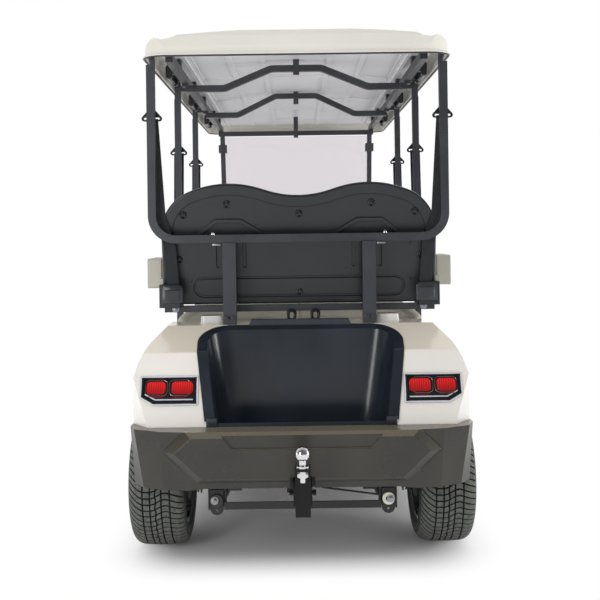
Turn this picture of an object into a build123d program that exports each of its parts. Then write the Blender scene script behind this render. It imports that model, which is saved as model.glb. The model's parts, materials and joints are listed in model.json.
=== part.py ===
"""Six-seat golf cart: three forward-facing benches, a roof on posts and a rear cargo well.

Millimetres. +Z is up and +Y is the way the cart drives, so -X is the driver's side.
The origin is on the ground under the centre of the cart.
"""

import math
import os

from build123d import *

os.makedirs("parts", exist_ok=True)

# ---------------------------------------------------------------- driving dimensions
reach = 1500.0  # more than half the cart's width, for through cuts

tyre_radius = 265.0
tyre_half_width = 107.5
rim_radius = 178.0
rim_half_width = 89.0
wheel_x = 548.0
rear_axle_y = -1405.0
front_axle_y = 1600.0
spindle_radius = 16.0
hub_clearance = 0.05
rear_arch_radius = 296.0
front_arch_radius = 320.0

floor_top = 385.0
floor_bottom = 355.0
floor_half_width = 560.0

# each bench is placed by the foot of its back shell
bench_y = {"rear": -1325.0, "middle": -525.0, "front": 275.0}
seat_pan_z = 765.0
cushion_top = 890.0
back_foot_z = 937.0
back_lean = 11.0
shell_thickness = 25.0
pad_thickness = 72.0

deck_z = 866.0
body_wall = 8.0
well_floor_z = 432.0
well_wall = 6.0

tube = 30.0
post_x = 578.0
hoop_tube = 32.0
hoop_x = 582.0
hoop_y = -1425.0
hoop_bar_z = 1206.0
hoop_top_z = 1953.0
stand_x = 277.0
stand_size = 52.0
windscreen_post_x = 500.0
windscreen_top = (1175.0, 1885.0)
windscreen_foot = (1400.0, 950.0)
rail_x = 510.0
rail_z = 1930.0
front_bar_y = 1175.0
brace_y = (-849.0, 121.0)

roof_half_width = 605.0
roof_rear_y = -1490.0
roof_front_y = 1400.0
roof_rim_z = 1927.0
roof_crown_z = 2035.0
roof_wall = 8.0

kingpin_x = wheel_x - 55.0
steering_arm = 110.0
steering_pin_y = front_axle_y - steering_arm
tie_rod_z = 208.0

frame_x = 245.0
frame_width = 50.0
frame_bottom = 295.0
frame_top = floor_bottom
spring_x = 310.0
spring_ends = (-1735.0, -1060.0)
spring_eye_z = 253.0

ball_y = -2024.6
ball_z = 490.0
ball_radius = 25.4


def keep(piece, name):
    """Label a finished piece and write it to its own file."""
    piece.label = name
    export_step(piece, f"parts/{name}.step")


def block(x, y, z):
    """A box between three (low, high) pairs, added to the part being built."""
    with Locations(((x[0] + x[1]) / 2, (y[0] + y[1]) / 2, (z[0] + z[1]) / 2)):
        Box(x[1] - x[0], y[1] - y[0], z[1] - z[0])


def both_sides(half):
    """A closed outline from the (x, height) points of its right half, listed upwards."""
    return half + [(-x, height) for x, height in reversed(half)]


def square_tube(points, size, bend, side):
    """A square tube along a bent path; side is the direction its flat sides face."""
    with BuildPart() as bar:
        with BuildLine():
            if len(points) > 2:
                FilletPolyline(points, radius=bend)
            else:
                Line(*points)
        ahead_dir = Vector(*points[1]) - Vector(*points[0])
        with BuildSketch(Plane(origin=points[0], x_dir=side, z_dir=ahead_dir)):
            Rectangle(size, size)
        sweep()
    return bar.part


def three_way_form(side, section, plan, grow=0.0):
    """The solid common to a side view (y, z), an end view (x, z) and a plan (x, y).

    Each view is (points, corner radius). Growing moves every face out by that much.
    """
    with BuildPart() as form:
        for plane, (points, radius) in ((Plane.YZ, side), (Plane.XZ, section), (Plane.XY, plan)):
            with BuildSketch(plane) as view:
                with BuildLine():
                    Polyline(points, close=True)
                make_face()
                if radius:
                    fillet(view.vertices(), radius)
                if grow:
                    offset(amount=grow, kind=Kind.INTERSECTION)
            extrude(amount=2 * reach, both=True, mode=Mode.ADD if plane == Plane.YZ else Mode.INTERSECT)
    return form.part


# ---------------------------------------------------------------- chassis and floor
# cross members: y, half length, (bottom, top)
cross_members = (
    (-1735.0, 338.0, (305.0, 345.0)),
    (-1060.0, 338.0, (305.0, 345.0)),
    (-700.0, 540.0, (315.0, 355.0)),
    (-100.0, 540.0, (315.0, 355.0)),
    (500.0, 540.0, (315.0, 355.0)),
    (1100.0, 540.0, (315.0, 355.0)),
    (1870.0, 0.0, (300.0, 350.0)),
)
rail_faces = (frame_x - frame_width / 2, frame_x + frame_width / 2)
with BuildPart() as chassis_rails:
    block(rail_faces, (-1755, 1890), (frame_bottom, frame_top))
    mirror(about=Plane.YZ)
keep(chassis_rails.part, "chassis_rails")

# each one is a bar between the rails and an outrigger on either side
with BuildPart() as cross_bars:
    for y, half, height in cross_members:
        block((-rail_faces[0], rail_faces[0]), (y - 20, y + 20), height)
        if half:
            block((rail_faces[1], half), (y - 20, y + 20), height)
            block((-half, -rail_faces[1]), (y - 20, y + 20), height)
    # posts on the rails, under the cargo well
    for x in (-frame_x, frame_x):
        for y in (-1700, -1560):
            block((x - 15, x + 15), (y - 15, y + 15), (frame_top, well_floor_z - well_wall))
keep(cross_bars.part, "cross_members")

# an inverted channel over each spring eye; the rear ones have a lashing plate behind
hanger_half = 26.0
hanger_wall = 6.0
lashing_holes = ((225.0, 4.0), (264.0, 10.0))
with BuildPart() as spring_hangers:
    for side in (-1, 1):
        for y in spring_ends:
            with BuildSketch(Plane.XZ.offset(-y - 22)):
                with Locations((side * spring_x, 266)):
                    Rectangle(2 * (hanger_half + hanger_wall), 78)
                with Locations((side * spring_x, 266 - hanger_wall)):
                    Rectangle(2 * hanger_half, 78, mode=Mode.SUBTRACT)
            extrude(amount=44)
        with BuildSketch(Plane.XZ.offset(-spring_ends[0] + 22)):
            with Locations((side * spring_x, 252)):
                SlotCenterToCenter(38, 48, rotation=90)
            with Locations((side * spring_x, 286)):
                Rectangle(48, 30)
            for z, radius in lashing_holes:
                with Locations((side * spring_x, z)):
                    Circle(radius, mode=Mode.SUBTRACT)
        extrude(amount=6)
keep(spring_hangers.part, "spring_hangers")

with BuildPart() as hanger_bushes:
    with BuildSketch(Plane.XZ.offset(-spring_ends[0] + 28)):
        with Locations((-spring_x, lashing_holes[1][0]), (spring_x, lashing_holes[1][0])):
            Circle(22)
            Circle(lashing_holes[1][1], mode=Mode.SUBTRACT)
    extrude(amount=9)
keep(hanger_bushes.part, "hanger_bushes")

# a flat tie across the hangers and the parking brake's rod above it
with BuildPart() as rear_ties:
    block((-spring_x + 26, spring_x - 26), (-1769, -1763), (231, 257))
    with BuildSketch(Plane(origin=(70, -1776, 309), x_dir=(0, 1, 0), z_dir=(203, 0, -28))):
        Circle(3.5)
    extrude(amount=205)
keep(rear_ties.part, "rear_ties")

toe_board = [
    (1150, floor_bottom), (1180, floor_bottom), (1274, 520), (1274, 540), (1262, 540), (1160, floor_top),
    (1150, floor_top),
]
with BuildPart() as floor:
    block((-floor_half_width, floor_half_width), (-830, 1180), (floor_bottom, floor_top))
    with BuildSketch(Plane.YZ):
        Polygon(*toe_board, align=None)
    extrude(amount=floor_half_width, both=True)
keep(floor.part, "floor")

with BuildPart() as rocker_panels:
    for side in (-1, 1):
        with BuildSketch(Plane.XZ.offset(-1235)) as rocker:
            with BuildLine():
                Polyline(
                    (side * 560, 300), (side * 590, 292), (side * 612, 315),
                    (side * 612, 372), (side * 600, 384), (side * 560, 384), close=True,
                )
            make_face()
        extrude(amount=1235 + 1065)
keep(rocker_panels.part, "rocker_panels")

# ---------------------------------------------------------------- rear body and cargo well
rear_side = ([
    (-1690, floor_top), (-810, floor_top), (-810, seat_pan_z), (-1262, seat_pan_z), (-1290, deck_z), (-1460, deck_z),
    (-1665, 786), (-1785, 536), (-1790, 480),
], 12)
rear_section = (both_sides(
    [(604, 300), (624, 480), (627, 600), (620, 690), (600, 755), (572, 812), (520, 868), (430, 960)]
), 20)
rear_plan = ([
    (608, -700), (628, -1100), (628, -1640), (618, -1705), (552, -1789), (-552, -1789), (-618, -1705),
    (-628, -1640), (-628, -1100), (-608, -700),
], 20)

# the well's inside: (height, half width, y of its front wall, corner radius)
well_sections = ((well_floor_z, 294.0, -1530.0, 84.0), (960.0, 374.0, -1503.0, 94.0))
well_band = 38.0
sill_z = 545.0


def well_form(grow, bottom=well_floor_z, top=960.0):
    """The cargo well's inside, grown outwards all round."""
    (z0, half0, front0, corner0), (z1, half1, front1, corner1) = well_sections
    with BuildPart() as form:
        for height in (bottom, top):
            share = (height - z0) / (z1 - z0)
            half = half0 + share * (half1 - half0) + grow
            front = front0 + share * (front1 - front0) + grow
            corner = corner0 + share * (corner1 - corner0) + grow
            with BuildSketch(Plane.XY.offset(height)) as outline:
                with BuildLine():
                    Polyline((half, -2000), (half, front), (-half, front), (-half, -2000), close=True)
                make_face()
                fillet(outline.vertices().group_by(Axis.Y)[-1], corner)
        loft()
    return form.part


lamp_outline = [(588, 705), (378, 705), (376, 607), (540, 607), (588, 633)]
lamp_bezel = [(578, 696), (387, 696), (386, 617), (536, 617), (578, 638)]
lamp_lenses = ((396, 474), (496, 566))
lens_z = (643, 686)


def through(points, radius=0.0, side=1):
    """A prism along the cart with this (x, z) outline, at its rear only."""
    with BuildPart() as prism:
        with BuildSketch(Plane.XZ.offset(1620)) as outline:
            with BuildLine():
                Polyline([(side * x, z) for x, z in points], close=True)
            make_face()
            if radius:
                fillet(outline.vertices(), radius)
        extrude(amount=400)
    return prism.part


rear_form = three_way_form(rear_side, rear_section, rear_plan)
rear_inside = three_way_form(rear_side, rear_section, rear_plan, -body_wall)
rear_band = three_way_form(rear_side, rear_section, rear_plan, 4)
lamp_back = three_way_form(rear_side, rear_section, rear_plan, -34)
lamp_face = three_way_form(rear_side, rear_section, rear_plan, 3)
lamp_recess = three_way_form(rear_side, rear_section, rear_plan, -6)
lamp_prisms = [through(lamp_outline, 4, side) for side in (-1, 1)]
bezel_prisms = [through(lamp_bezel, 4, side) for side in (-1, 1)]
lens_prisms = [
    through([(x1, lens_z[1]), (x0, lens_z[1]), (x0, lens_z[0]), (x1, lens_z[0])], 14, side)
    for side in (-1, 1) for x0, x1 in lamp_lenses
]
well_inside = well_form(0)
well_outside = well_form(well_wall, well_floor_z - well_wall)
well_edge = well_form(well_band)

with BuildPart() as rear_body:
    add(rear_form)
    add(rear_inside, mode=Mode.SUBTRACT)
    # open underneath, for the axle and the frame
    with Locations((0, -1307, floor_top)):
        Box(1196, 954, 120, mode=Mode.SUBTRACT)
    with BuildSketch(Plane.YZ):
        with Locations((rear_axle_y, tyre_radius)):
            Circle(rear_arch_radius)
    extrude(amount=reach, both=True, mode=Mode.SUBTRACT)
    # raised pads on the deck beside the hoop's stands
    for side in (-1, 1):
        with BuildSketch(Plane.XY.offset(deck_z - 4)) as pad:
            with Locations((side * 356, -1356)):
                Rectangle(92, 74)
            fillet(pad.vertices(), 18)
        extrude(amount=34, taper=8)
    add(well_outside, mode=Mode.SUBTRACT)
    add(lamp_prisms, mode=Mode.SUBTRACT)
keep(rear_body.part, "rear_body")

# the tub follows the body's rear face; its band lies on the body and its lip stands on the deck's edge
with BuildPart() as cargo_well:
    add(well_outside)
    add(well_inside, mode=Mode.SUBTRACT)
    add(rear_form, mode=Mode.INTERSECT)
with BuildPart() as well_sill:
    add(rear_form)
    add(three_way_form(rear_side, rear_section, rear_plan, -6), mode=Mode.SUBTRACT)
    add(well_inside, mode=Mode.INTERSECT)
    block_top = 1000
    with Locations((0, -1700, (sill_z + block_top) / 2)):
        Box(1200, 900, block_top - sill_z, mode=Mode.SUBTRACT)
with BuildPart() as well_flange:
    add(rear_band)
    add(rear_form, mode=Mode.SUBTRACT)
    add(well_edge, mode=Mode.INTERSECT)
    add(well_inside, mode=Mode.SUBTRACT)
    with Locations((0, -1700, (sill_z + 7) / 2)):
        Box(1200, 900, sill_z + 7, mode=Mode.SUBTRACT)
with BuildPart() as well_lip:
    with BuildSketch(Plane.XZ.offset(1460)):
        Polygon((-210, 850), (210, 850), (190, 888), (-190, 888), align=None)
    extrude(amount=16)
    add(rear_form, mode=Mode.SUBTRACT)
with BuildPart() as well:
    add(cargo_well.part)
    add(well_sill.part)
    add(well_flange.part)
    add(well_lip.part)
keep(well.part, "cargo_well")

with BuildPart() as tail_lamp_housings:
    add(lamp_face)
    add(lamp_back, mode=Mode.SUBTRACT)
    add(lamp_prisms, mode=Mode.INTERSECT)
with BuildPart() as lamp_hollow:
    add(bezel_prisms)
    add(lamp_recess, mode=Mode.SUBTRACT)
with BuildPart() as lamp_housings:
    add(tail_lamp_housings.part)
    add(lamp_hollow.part, mode=Mode.SUBTRACT)
keep(lamp_housings.part, "tail_lamp_housings")

with BuildPart() as tail_lamp_lenses:
    add(lens_prisms)
    add(rear_form, mode=Mode.INTERSECT)
    add(lamp_recess, mode=Mode.SUBTRACT)
keep(tail_lamp_lenses.part, "tail_lamp_lenses")

# ---------------------------------------------------------------- rear bumper
bumper_bottom = 323.0
bumper_top = 533.0
bumper_wall = 9.0
bumper_front = -1703.0
# the plan's right half at its foot and at its top, rearwards from its end
bumper_foot = [(607, -1500), (607, -1744), (568, -1798), (490, -1838), (388, -1853)]
bumper_head = [(621, -1500), (621, -1752), (599, -1808), (503, -1856), (395, -1872)]
# the raised panel across its back: its edge on the bumper and the edge of its face
panel_base = [(374, 345), (489, 461), (416, 535)]
panel_face = [(352, 368), (447, 461), (388, 514)]
panel_depth = 21.0
pocket = [(243, 474), (282, 520), (282, 560)]
pocket_depth = 8.0
bumper_lean = math.radians(5.3)


def bumper_form(shrink, bottom, top):
    """The bumper's form between two heights; it runs on forwards past its end."""
    with BuildPart() as form:
        for height in (bottom, top):
            share = (height - bumper_bottom) / (bumper_top - bumper_bottom)
            half = [
                (x0 + share * (x1 - x0), y0 + share * (y1 - y0))
                for (x0, y0), (x1, y1) in zip(bumper_foot, bumper_head)
            ]
            with BuildSketch(Plane.XY.offset(height)):
                with BuildLine():
                    Polyline(both_sides(half), close=True)
                make_face()
                if shrink:
                    offset(amount=-shrink, kind=Kind.INTERSECTION)
        loft(ruled=True)
    return form.part


def bumper_plane(depth):
    """A plane parallel to the raised panel's face, this far inside it; its z axis points rearwards."""
    normal = Vector(0, -math.cos(bumper_lean), -math.sin(bumper_lean))
    return Plane(origin=Vector(0, -1893, bumper_top) - normal * depth, x_dir=(1, 0, 0), z_dir=normal)


def bumper_outline(points):
    """A symmetric outline on one of those planes, from its right half's (x, z) points."""
    return both_sides([(x, z - bumper_top) for x, z in points])


body_clear = three_way_form(rear_side, rear_section, rear_plan, 1)
bumper_outer = bumper_form(0.0, bumper_bottom, bumper_top)
bumper_inner = bumper_form(bumper_wall, bumper_bottom - 5, bumper_top - bumper_wall)
with BuildPart() as raised_panel:
    for depth, points in ((panel_depth + 3, panel_base), (0, panel_face)):
        with BuildSketch(bumper_plane(depth)):
            Polygon(*bumper_outline(points), align=None)
    loft(ruled=True)
    with BuildSketch(bumper_plane(0)):
        Polygon(*bumper_outline(pocket), align=None)
    extrude(amount=-pocket_depth, mode=Mode.SUBTRACT)
with BuildPart() as rear_bumper:
    add(bumper_outer)
    add(raised_panel.part)
    with BuildSketch(Plane.XY.offset(bumper_top)):
        Rectangle(2 * reach, 4 * reach)
    extrude(amount=40, mode=Mode.SUBTRACT)
    add(bumper_inner, mode=Mode.SUBTRACT)
    split(bisect_by=Plane.XZ.offset(-bumper_front), keep=Keep.TOP)
    add(body_clear, mode=Mode.SUBTRACT)
    # the foot is cut higher between the wheels
    with BuildSketch(Plane.XZ.offset(1780)):
        Polygon((-404, 300), (404, 300), (404, 323), (352, 330), (-352, 330), (-404, 323), align=None)
    extrude(amount=200, mode=Mode.SUBTRACT)
    for side in (-1, 1):
        block((side * frame_x - 20, side * frame_x + 20), (-1851, -1755), (344, 354))
    # a notch over the hitch receiver
    with Locations((0, -1860, 335)):
        Box(84, 200, 76, mode=Mode.SUBTRACT)
keep(rear_bumper.part, "rear_bumper")

# ---------------------------------------------------------------- hitch
receiver_z = (303.0, 367.0)
tongue_z = (435.0, 445.0)
with BuildPart() as hitch_mount:
    block((-32, 32), (-1985, -1760), receiver_z)
    block((-25, 25), (-1986, -1760), (receiver_z[0] + 7, receiver_z[1] - 7))
    with Locations((0, -1872, 335)):
        Box(51, 226, 51, mode=Mode.SUBTRACT)
    block((-26, 26), (-1999, -1985), (270, 445))
    block((-26, 26), (-2048, -1999), tongue_z)
    with Locations((0, -1872, 335)):
        Box(51, 226, 51)
    # the cross pin with its heads
    with BuildSketch(Plane.YZ.offset(-46)):
        with Locations((-1930, 335)):
            Circle(6)
    extrude(amount=92)
    for x in (-46, 34):
        with BuildSketch(Plane.YZ.offset(x)):
            with Locations((-1930, 335)):
                Circle(10)
        extrude(amount=12)
keep(hitch_mount.part, "hitch_mount")

with BuildPart() as hitch_ball:
    with BuildSketch(Plane.YZ):
        with Locations((ball_y, ball_z)):
            Circle(ball_radius)
        with BuildLine():
            Polyline(
                (ball_y, 395), (ball_y + 9, 395), (ball_y + 9, 435), (ball_y, 435), close=True,
            )
        make_face()
        with BuildLine():
            Polyline(
                (ball_y, 445), (ball_y + 23, 445), (ball_y + 23, 451), (ball_y + 13, 455), (ball_y + 13, 475),
                (ball_y, 475), close=True,
            )
        make_face()
        with Locations((ball_y - 100, ball_z)):
            Rectangle(200, 400, mode=Mode.SUBTRACT)
    revolve(axis=Axis((0, ball_y, 0), (0, 0, 1)))
    with BuildSketch(Plane.XY.offset(412)):
        with Locations((0, ball_y)):
            RegularPolygon(18, 6)
    extrude(amount=23)
keep(hitch_ball.part, "hitch_ball")

# ---------------------------------------------------------------- roof
roof_side = ([
    (roof_rear_y, 1850), (roof_front_y, 1850), (roof_front_y, 1959), (1370, 1989), (1240, 2019), (900, roof_crown_z),
    (-1425, roof_crown_z), (-1462, 2028), (-1482, 2005), (roof_rear_y, 1963),
], 6)
roof_section = (both_sides([
    (roof_half_width, 1850), (roof_half_width, 1953), (597, 1977), (577, 1992), (556, 1998), (532, 1991), (500, 1995),
    (470, 2009), (340, 2021), (110, roof_crown_z),
]), 5)
roof_plan = ([
    (roof_half_width, roof_rear_y), (roof_half_width, roof_front_y),
    (-roof_half_width, roof_front_y), (-roof_half_width, roof_rear_y),
], 90)
roof_outer = three_way_form(roof_side, roof_section, roof_plan)
roof_inner = three_way_form(roof_side, roof_section, roof_plan, -roof_wall)
liner_inner = three_way_form(roof_side, roof_section, roof_plan, -roof_wall - 6)
rib_inner = three_way_form(roof_side, roof_section, roof_plan, -roof_wall - 12)
roof_lip = 11.0
with BuildPart() as roof_brim:
    with BuildSketch(Plane.XY.offset(roof_rim_z)) as rim:
        with BuildLine():
            Polyline(roof_plan[0], close=True)
        make_face()
        fillet(rim.vertices(), roof_plan[1])
        offset(amount=roof_lip)
    extrude(amount=9)
    chamfer(roof_brim.faces().sort_by(Axis.Z)[-1].edges(), 6)
with BuildPart() as roof:
    add(roof_outer)
    split(bisect_by=Plane.XY.offset(roof_rim_z), keep=Keep.TOP)
    # a lip runs round the rim
    add(roof_brim.part)
    add(roof_inner, mode=Mode.SUBTRACT)
keep(roof.part, "roof")

# the lining has ribs along it and a waved rib across each bay
rib_lines = [
    [(x, -1440), (x, 1340)] for x in (-468, -300, -150, 150, 300, 468)
] + [
    [(-460, y - 70), (-340, y - 70), (-240, y), (240, y), (340, y - 70), (460, y - 70)]
    for y in (-1130, -420, 330, 830)
]
with BuildPart() as liner_ribs:
    add(liner_inner)
    add(rib_inner, mode=Mode.SUBTRACT)
    with BuildSketch(Plane.XY.offset(1900)):
        for points in rib_lines:
            with BuildLine():
                Polyline(points)
            trace(line_width=24)
    extrude(amount=200, mode=Mode.INTERSECT)
with BuildPart() as roof_liner:
    add(roof_inner)
    add(liner_inner, mode=Mode.SUBTRACT)
    split(bisect_by=Plane.XY.offset(1983), keep=Keep.TOP)
    add(liner_ribs.part)
keep(roof_liner.part, "roof_liner")

# ---------------------------------------------------------------- posts and roof frame
hoop = square_tube(
    [
        (-hoop_x, hoop_y, 1900), (-hoop_x, hoop_y, hoop_bar_z), (hoop_x, hoop_y, hoop_bar_z), (hoop_x, hoop_y, 1900),
    ], hoop_tube, 94, (0, 1, 0),
)
with BuildPart() as hoop_top:
    for side in (-1, 1):
        block(
            (side * hoop_x - hoop_tube / 2, side * hoop_x + hoop_tube / 2),
            (hoop_y - hoop_tube / 2, hoop_y + hoop_tube / 2), (1900, hoop_top_z + 28),
        )
    block((-hoop_x, hoop_x), (hoop_y - 16, hoop_y + 16), (hoop_top_z - 16, hoop_top_z + 28))
    add(liner_inner, mode=Mode.INTERSECT)
with BuildPart() as rear_hoop:
    add(hoop)
    add(hoop_top.part)
    for side in (-1, 1):
        block(
            (side * stand_x - stand_size / 2, side * stand_x + stand_size / 2),
            (hoop_y - stand_size / 2, hoop_y + stand_size / 2), (deck_z, hoop_bar_z - 16),
        )
keep(rear_hoop.part, "rear_hoop")

pillar_y = (-609.0, 178.0)
with BuildPart() as pillar_heads:
    for side in (-1, 1):
        for y in pillar_y:
            faces = sorted((side * (post_x - tube / 2), side * (post_x + tube / 2)))
            block(faces, (y - tube / 2, y + tube / 2), (1800, 2012))
            # a plate from the pillar to the rail
            faces = sorted((side * (rail_x + tube / 2), side * (post_x - tube / 2)))
            block(faces, (y - 22, y + 22), (rail_z - 13, rail_z + 13))
    add(liner_inner, mode=Mode.INTERSECT)
with BuildPart() as mid_pillars:
    add(pillar_heads.part)
    for side in (-1, 1):
        for y in pillar_y:
            faces = sorted((side * (post_x - tube / 2), side * (post_x + tube / 2)))
            block(faces, (y - tube / 2, y + tube / 2), (384, 1880))
keep(mid_pillars.part, "mid_pillars")

rails = [
    square_tube([(side * rail_x, hoop_y + 16, rail_z), (side * rail_x, front_bar_y + 15, rail_z)], tube, 0, (1, 0, 0))
    for side in (-1, 1)
]
# each brace is an arch: where it crosses and the height of its middle
brace_foot = 1894.0
braces = [
    square_tube(
        [
            (-rail_x, y, brace_foot), (-330, y, brace_foot), (-115, y, middle),
            (115, y, middle), (330, y, brace_foot), (rail_x, y, brace_foot),
        ], 29, 60, (0, 1, 0),
    )
    for y, middle in zip(brace_y, (1982.0, 1998.0))
]
# the pads that the roof rests on end against its lining
with BuildPart() as roof_frame:
    add(rails)
    add(braces)
    block((-rail_x - 15, rail_x + 15), (front_bar_y - 15, front_bar_y + 15), (1885, 1915))
    # a tab hangs behind each bar's middle
    for y, half, foot in ((brace_y[0], 14, 1950), (brace_y[1], 14, 1950), (front_bar_y, 15, 1868)):
        block((-half, half), (y - half - 7, y - half), (foot, 2040))
        block((-half, half), (y - half, y + 10), (foot + 62, 2040))
    for side in (-1, 1):
        for y in (-1100, -500, 0, 600, 1000):
            block((side * rail_x - 12, side * rail_x + 12), (y - 25, y + 25), (1945, 2005))
        # a saddle between each brace's end and its rail
        for y in brace_y:
            block((side * rail_x - 15, side * rail_x + 15), (y - 20, y + 20), (brace_foot + 9, rail_z - 13))
    add(liner_inner, mode=Mode.INTERSECT)
keep(roof_frame.part, "roof_frame")

# grab handles under the roof's edge, one beside each bench: two oval feet and a grip
handle_y = (-1085.0, -216.0, 620.0)
handle_length = 225.0
with BuildPart() as grab_handles:
    for side in (-1, 1):
        for y in handle_y:
            for foot in (y, y + handle_length - 26):
                with BuildSketch(Plane.XZ.offset(-foot - 26)):
                    with Locations((side * 556, 1934)):
                        SlotOverall(62, 26, rotation=90)
                    with Locations((side * 538, 1934)):
                        Rectangle(26, 22)
                extrude(amount=26)
            with BuildSketch(Plane.XZ.offset(-y - handle_length)):
                with Locations((side * 558, 1922)):
                    SlotOverall(30, 18, rotation=90)
            extrude(amount=handle_length)
keep(grab_handles.part, "grab_handles")

# ---------------------------------------------------------------- benches
# the back's right outline, up from its foot along the lean, and the radius of each corner
back_outline = (
    (555.0, 0.0, 40.0),
    (555.0, 426.0, 182.0),
    (285.0, 517.5, 410.0),
    (0.0, 426.0, 400.0),
)
back_corners = list(back_outline) + [(-x, up, r) for x, up, r in back_outline[-2::-1]]


def back_plane(foot_y, forward=0.0):
    """The back shell's rear face, or a plane ahead of it; its z axis points rearwards."""
    lean = math.radians(back_lean)
    normal = Vector(0, -math.cos(lean), -math.sin(lean))
    return Plane(origin=Vector(0, foot_y, back_foot_z) - normal * forward, x_dir=(1, 0, 0), z_dir=normal)


def back_board(foot_y, forward, thickness, grow, edge):
    """A board with the back's outline, whose rear face is this far ahead of the shell's."""
    with BuildPart() as board:
        with BuildSketch(back_plane(foot_y, forward)) as outline:
            with BuildLine():
                Polyline([(x, up) for x, up, r in back_corners], close=True)
            make_face()
            for x, up, r in back_corners:
                fillet(outline.vertices().sort_by_distance((x, up, 0))[0], r)
            if grow:
                offset(amount=grow)
        extrude(amount=-thickness)
        if edge:
            fillet(board.faces().sort_by(Axis.Y)[-1].edges(), edge)
    return board.part


shells = [back_board(y, 0, shell_thickness, 0, 8) for y in bench_y.values()]
pads = [back_board(y, shell_thickness, pad_thickness, 3, 24) for y in bench_y.values()]
# pressed into the shell's rear face, in (x, height up the lean) from its foot
panel_inset = 45.0
panel_depth_back = 5.0
rail_line = 294.0
hump = [(149, 0), (235, 52), (334, 52), (401, 0)]
rib_width = 15.0
slot_places = (221.0, 327.0)
slot_middle = 205.0
trough_height = 72.0
with BuildPart() as seat_shells:
    add(shells)
    for y in bench_y.values():
        # a panel inside the rim, from the waved rib up
        with BuildSketch(back_plane(y)) as panel:
            with BuildLine():
                Polyline([(x, up) for x, up, r in back_corners], close=True)
            make_face()
            for x, up, r in back_corners:
                fillet(panel.vertices().sort_by_distance((x, up, 0))[0], r)
            offset(amount=-panel_inset)
            with Locations((0, rail_line - 300)):
                Rectangle(2 * reach, 600, mode=Mode.SUBTRACT)
        extrude(amount=-panel_depth_back, mode=Mode.SUBTRACT)
        # the waved rib itself, two tall slots on either side and a long shallow trough
        rib = [(-500, rail_line)]
        rib += [(-x, rail_line + up) for x, up in reversed(hump)] + [(x, rail_line + up) for x, up in hump]
        rib += [(500, rail_line)]
        with BuildSketch(back_plane(y)):
            with BuildLine():
                FilletPolyline(rib, radius=16)
            trace(line_width=rib_width)
        extrude(amount=5)
        with BuildSketch(back_plane(y)):
            for x in slot_places:
                with Locations((x, slot_middle), (-x, slot_middle)):
                    SlotOverall(104, 15, rotation=90)
            with Locations((0, trough_height)):
                SlotOverall(862, 86)
                SlotOverall(844, 68, mode=Mode.SUBTRACT)
        extrude(amount=-6, mode=Mode.SUBTRACT)
keep(seat_shells.part, "seat_shells")
with BuildPart() as seat_backs:
    add(pads)
keep(seat_backs.part, "seat_backs")

with BuildPart() as seat_cushions:
    for y in bench_y.values():
        with BuildSketch(Plane.XY.offset(seat_pan_z)) as cushion:
            with Locations((0, y + 300)):
                Rectangle(1080, 440)
            fillet(cushion.vertices(), 50)
        extrude(amount=cushion_top - seat_pan_z)
    fillet(seat_cushions.faces().group_by(Axis.Z)[-1].edges(), 30)
keep(seat_cushions.part, "seat_cushions")

pod_half_width = 558.0
with BuildPart() as seat_bases:
    for row in ("middle", "front"):
        y = bench_y[row]
        with BuildSketch(Plane.XY.offset(floor_top)) as pod:
            with Locations((0, y + 197.5)):
                Rectangle(2 * pod_half_width, 565)
            fillet(pod.vertices(), 40)
            offset(amount=-12, mode=Mode.SUBTRACT)
        extrude(amount=seat_pan_z - floor_top)
        with BuildSketch(Plane.XY.offset(seat_pan_z - 12)) as pan:
            with Locations((0, y + 197.5)):
                Rectangle(2 * pod_half_width, 565)
            fillet(pan.vertices(), 40)
        extrude(amount=12)
keep(seat_bases.part, "seat_bases")

with BuildPart() as battery_pack:
    block((-330, 330), (310, 640), (floor_top, floor_top + 270))
keep(battery_pack.part, "battery_pack")

foot_rail_z = (908.0, 934.0)
with BuildPart() as seat_frames:
    for row, y in bench_y.items():
        block((-550, 550), (y - 16, y + 8), foot_rail_z)
        for side in (-1, 1):
            # a stay from the seat pan, or from the hoop's stand on the rear bench
            if row == "rear":
                block((side * stand_x - 20, side * stand_x + 20), (hoop_y + 26, y - 16), foot_rail_z)
            else:
                block((side * stand_x - 20, side * stand_x + 20), (y - 12, y + 4), (seat_pan_z, foot_rail_z[0]))
        # straps up the back of the shell
        with BuildSketch(back_plane(y)):
            with Locations((-stand_x, 50), (stand_x, 50)):
                Rectangle(40, 156)
        extrude(amount=6)
keep(seat_frames.part, "seat_frames")

with BuildPart() as armrests:
    for y in bench_y.values():
        for side in (-1, 1):
            with BuildSketch(Plane.YZ.offset(side * 574)) as arm:
                with BuildLine():
                    Polyline((y + 60, 1000), (y + 330, 1040), (y + 345, 1085), (y + 320, 1125), (y + 60, 1125), close=True)
                make_face()
                fillet(arm.vertices(), 14)
            extrude(amount=side * 56)
            # the bracket that holds it to the shell's edge
            for x, span in (((555, 575), (y - 12, y + 3)), ((562, 575), (y - 12, y + 90))):
                block((min(side * x[0], side * x[1]), max(side * x[0], side * x[1])), span, (1015, 1045))
keep(armrests.part, "armrests")

with BuildPart() as seat_belts:
    for row, y in bench_y.items():
        for side in (-1, 1):
            block((min(side * 478, side * 562), max(side * 478, side * 562)), (y - 78, y - 20), (931, 1024))
keep(seat_belts.part, "seat_belts")

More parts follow.
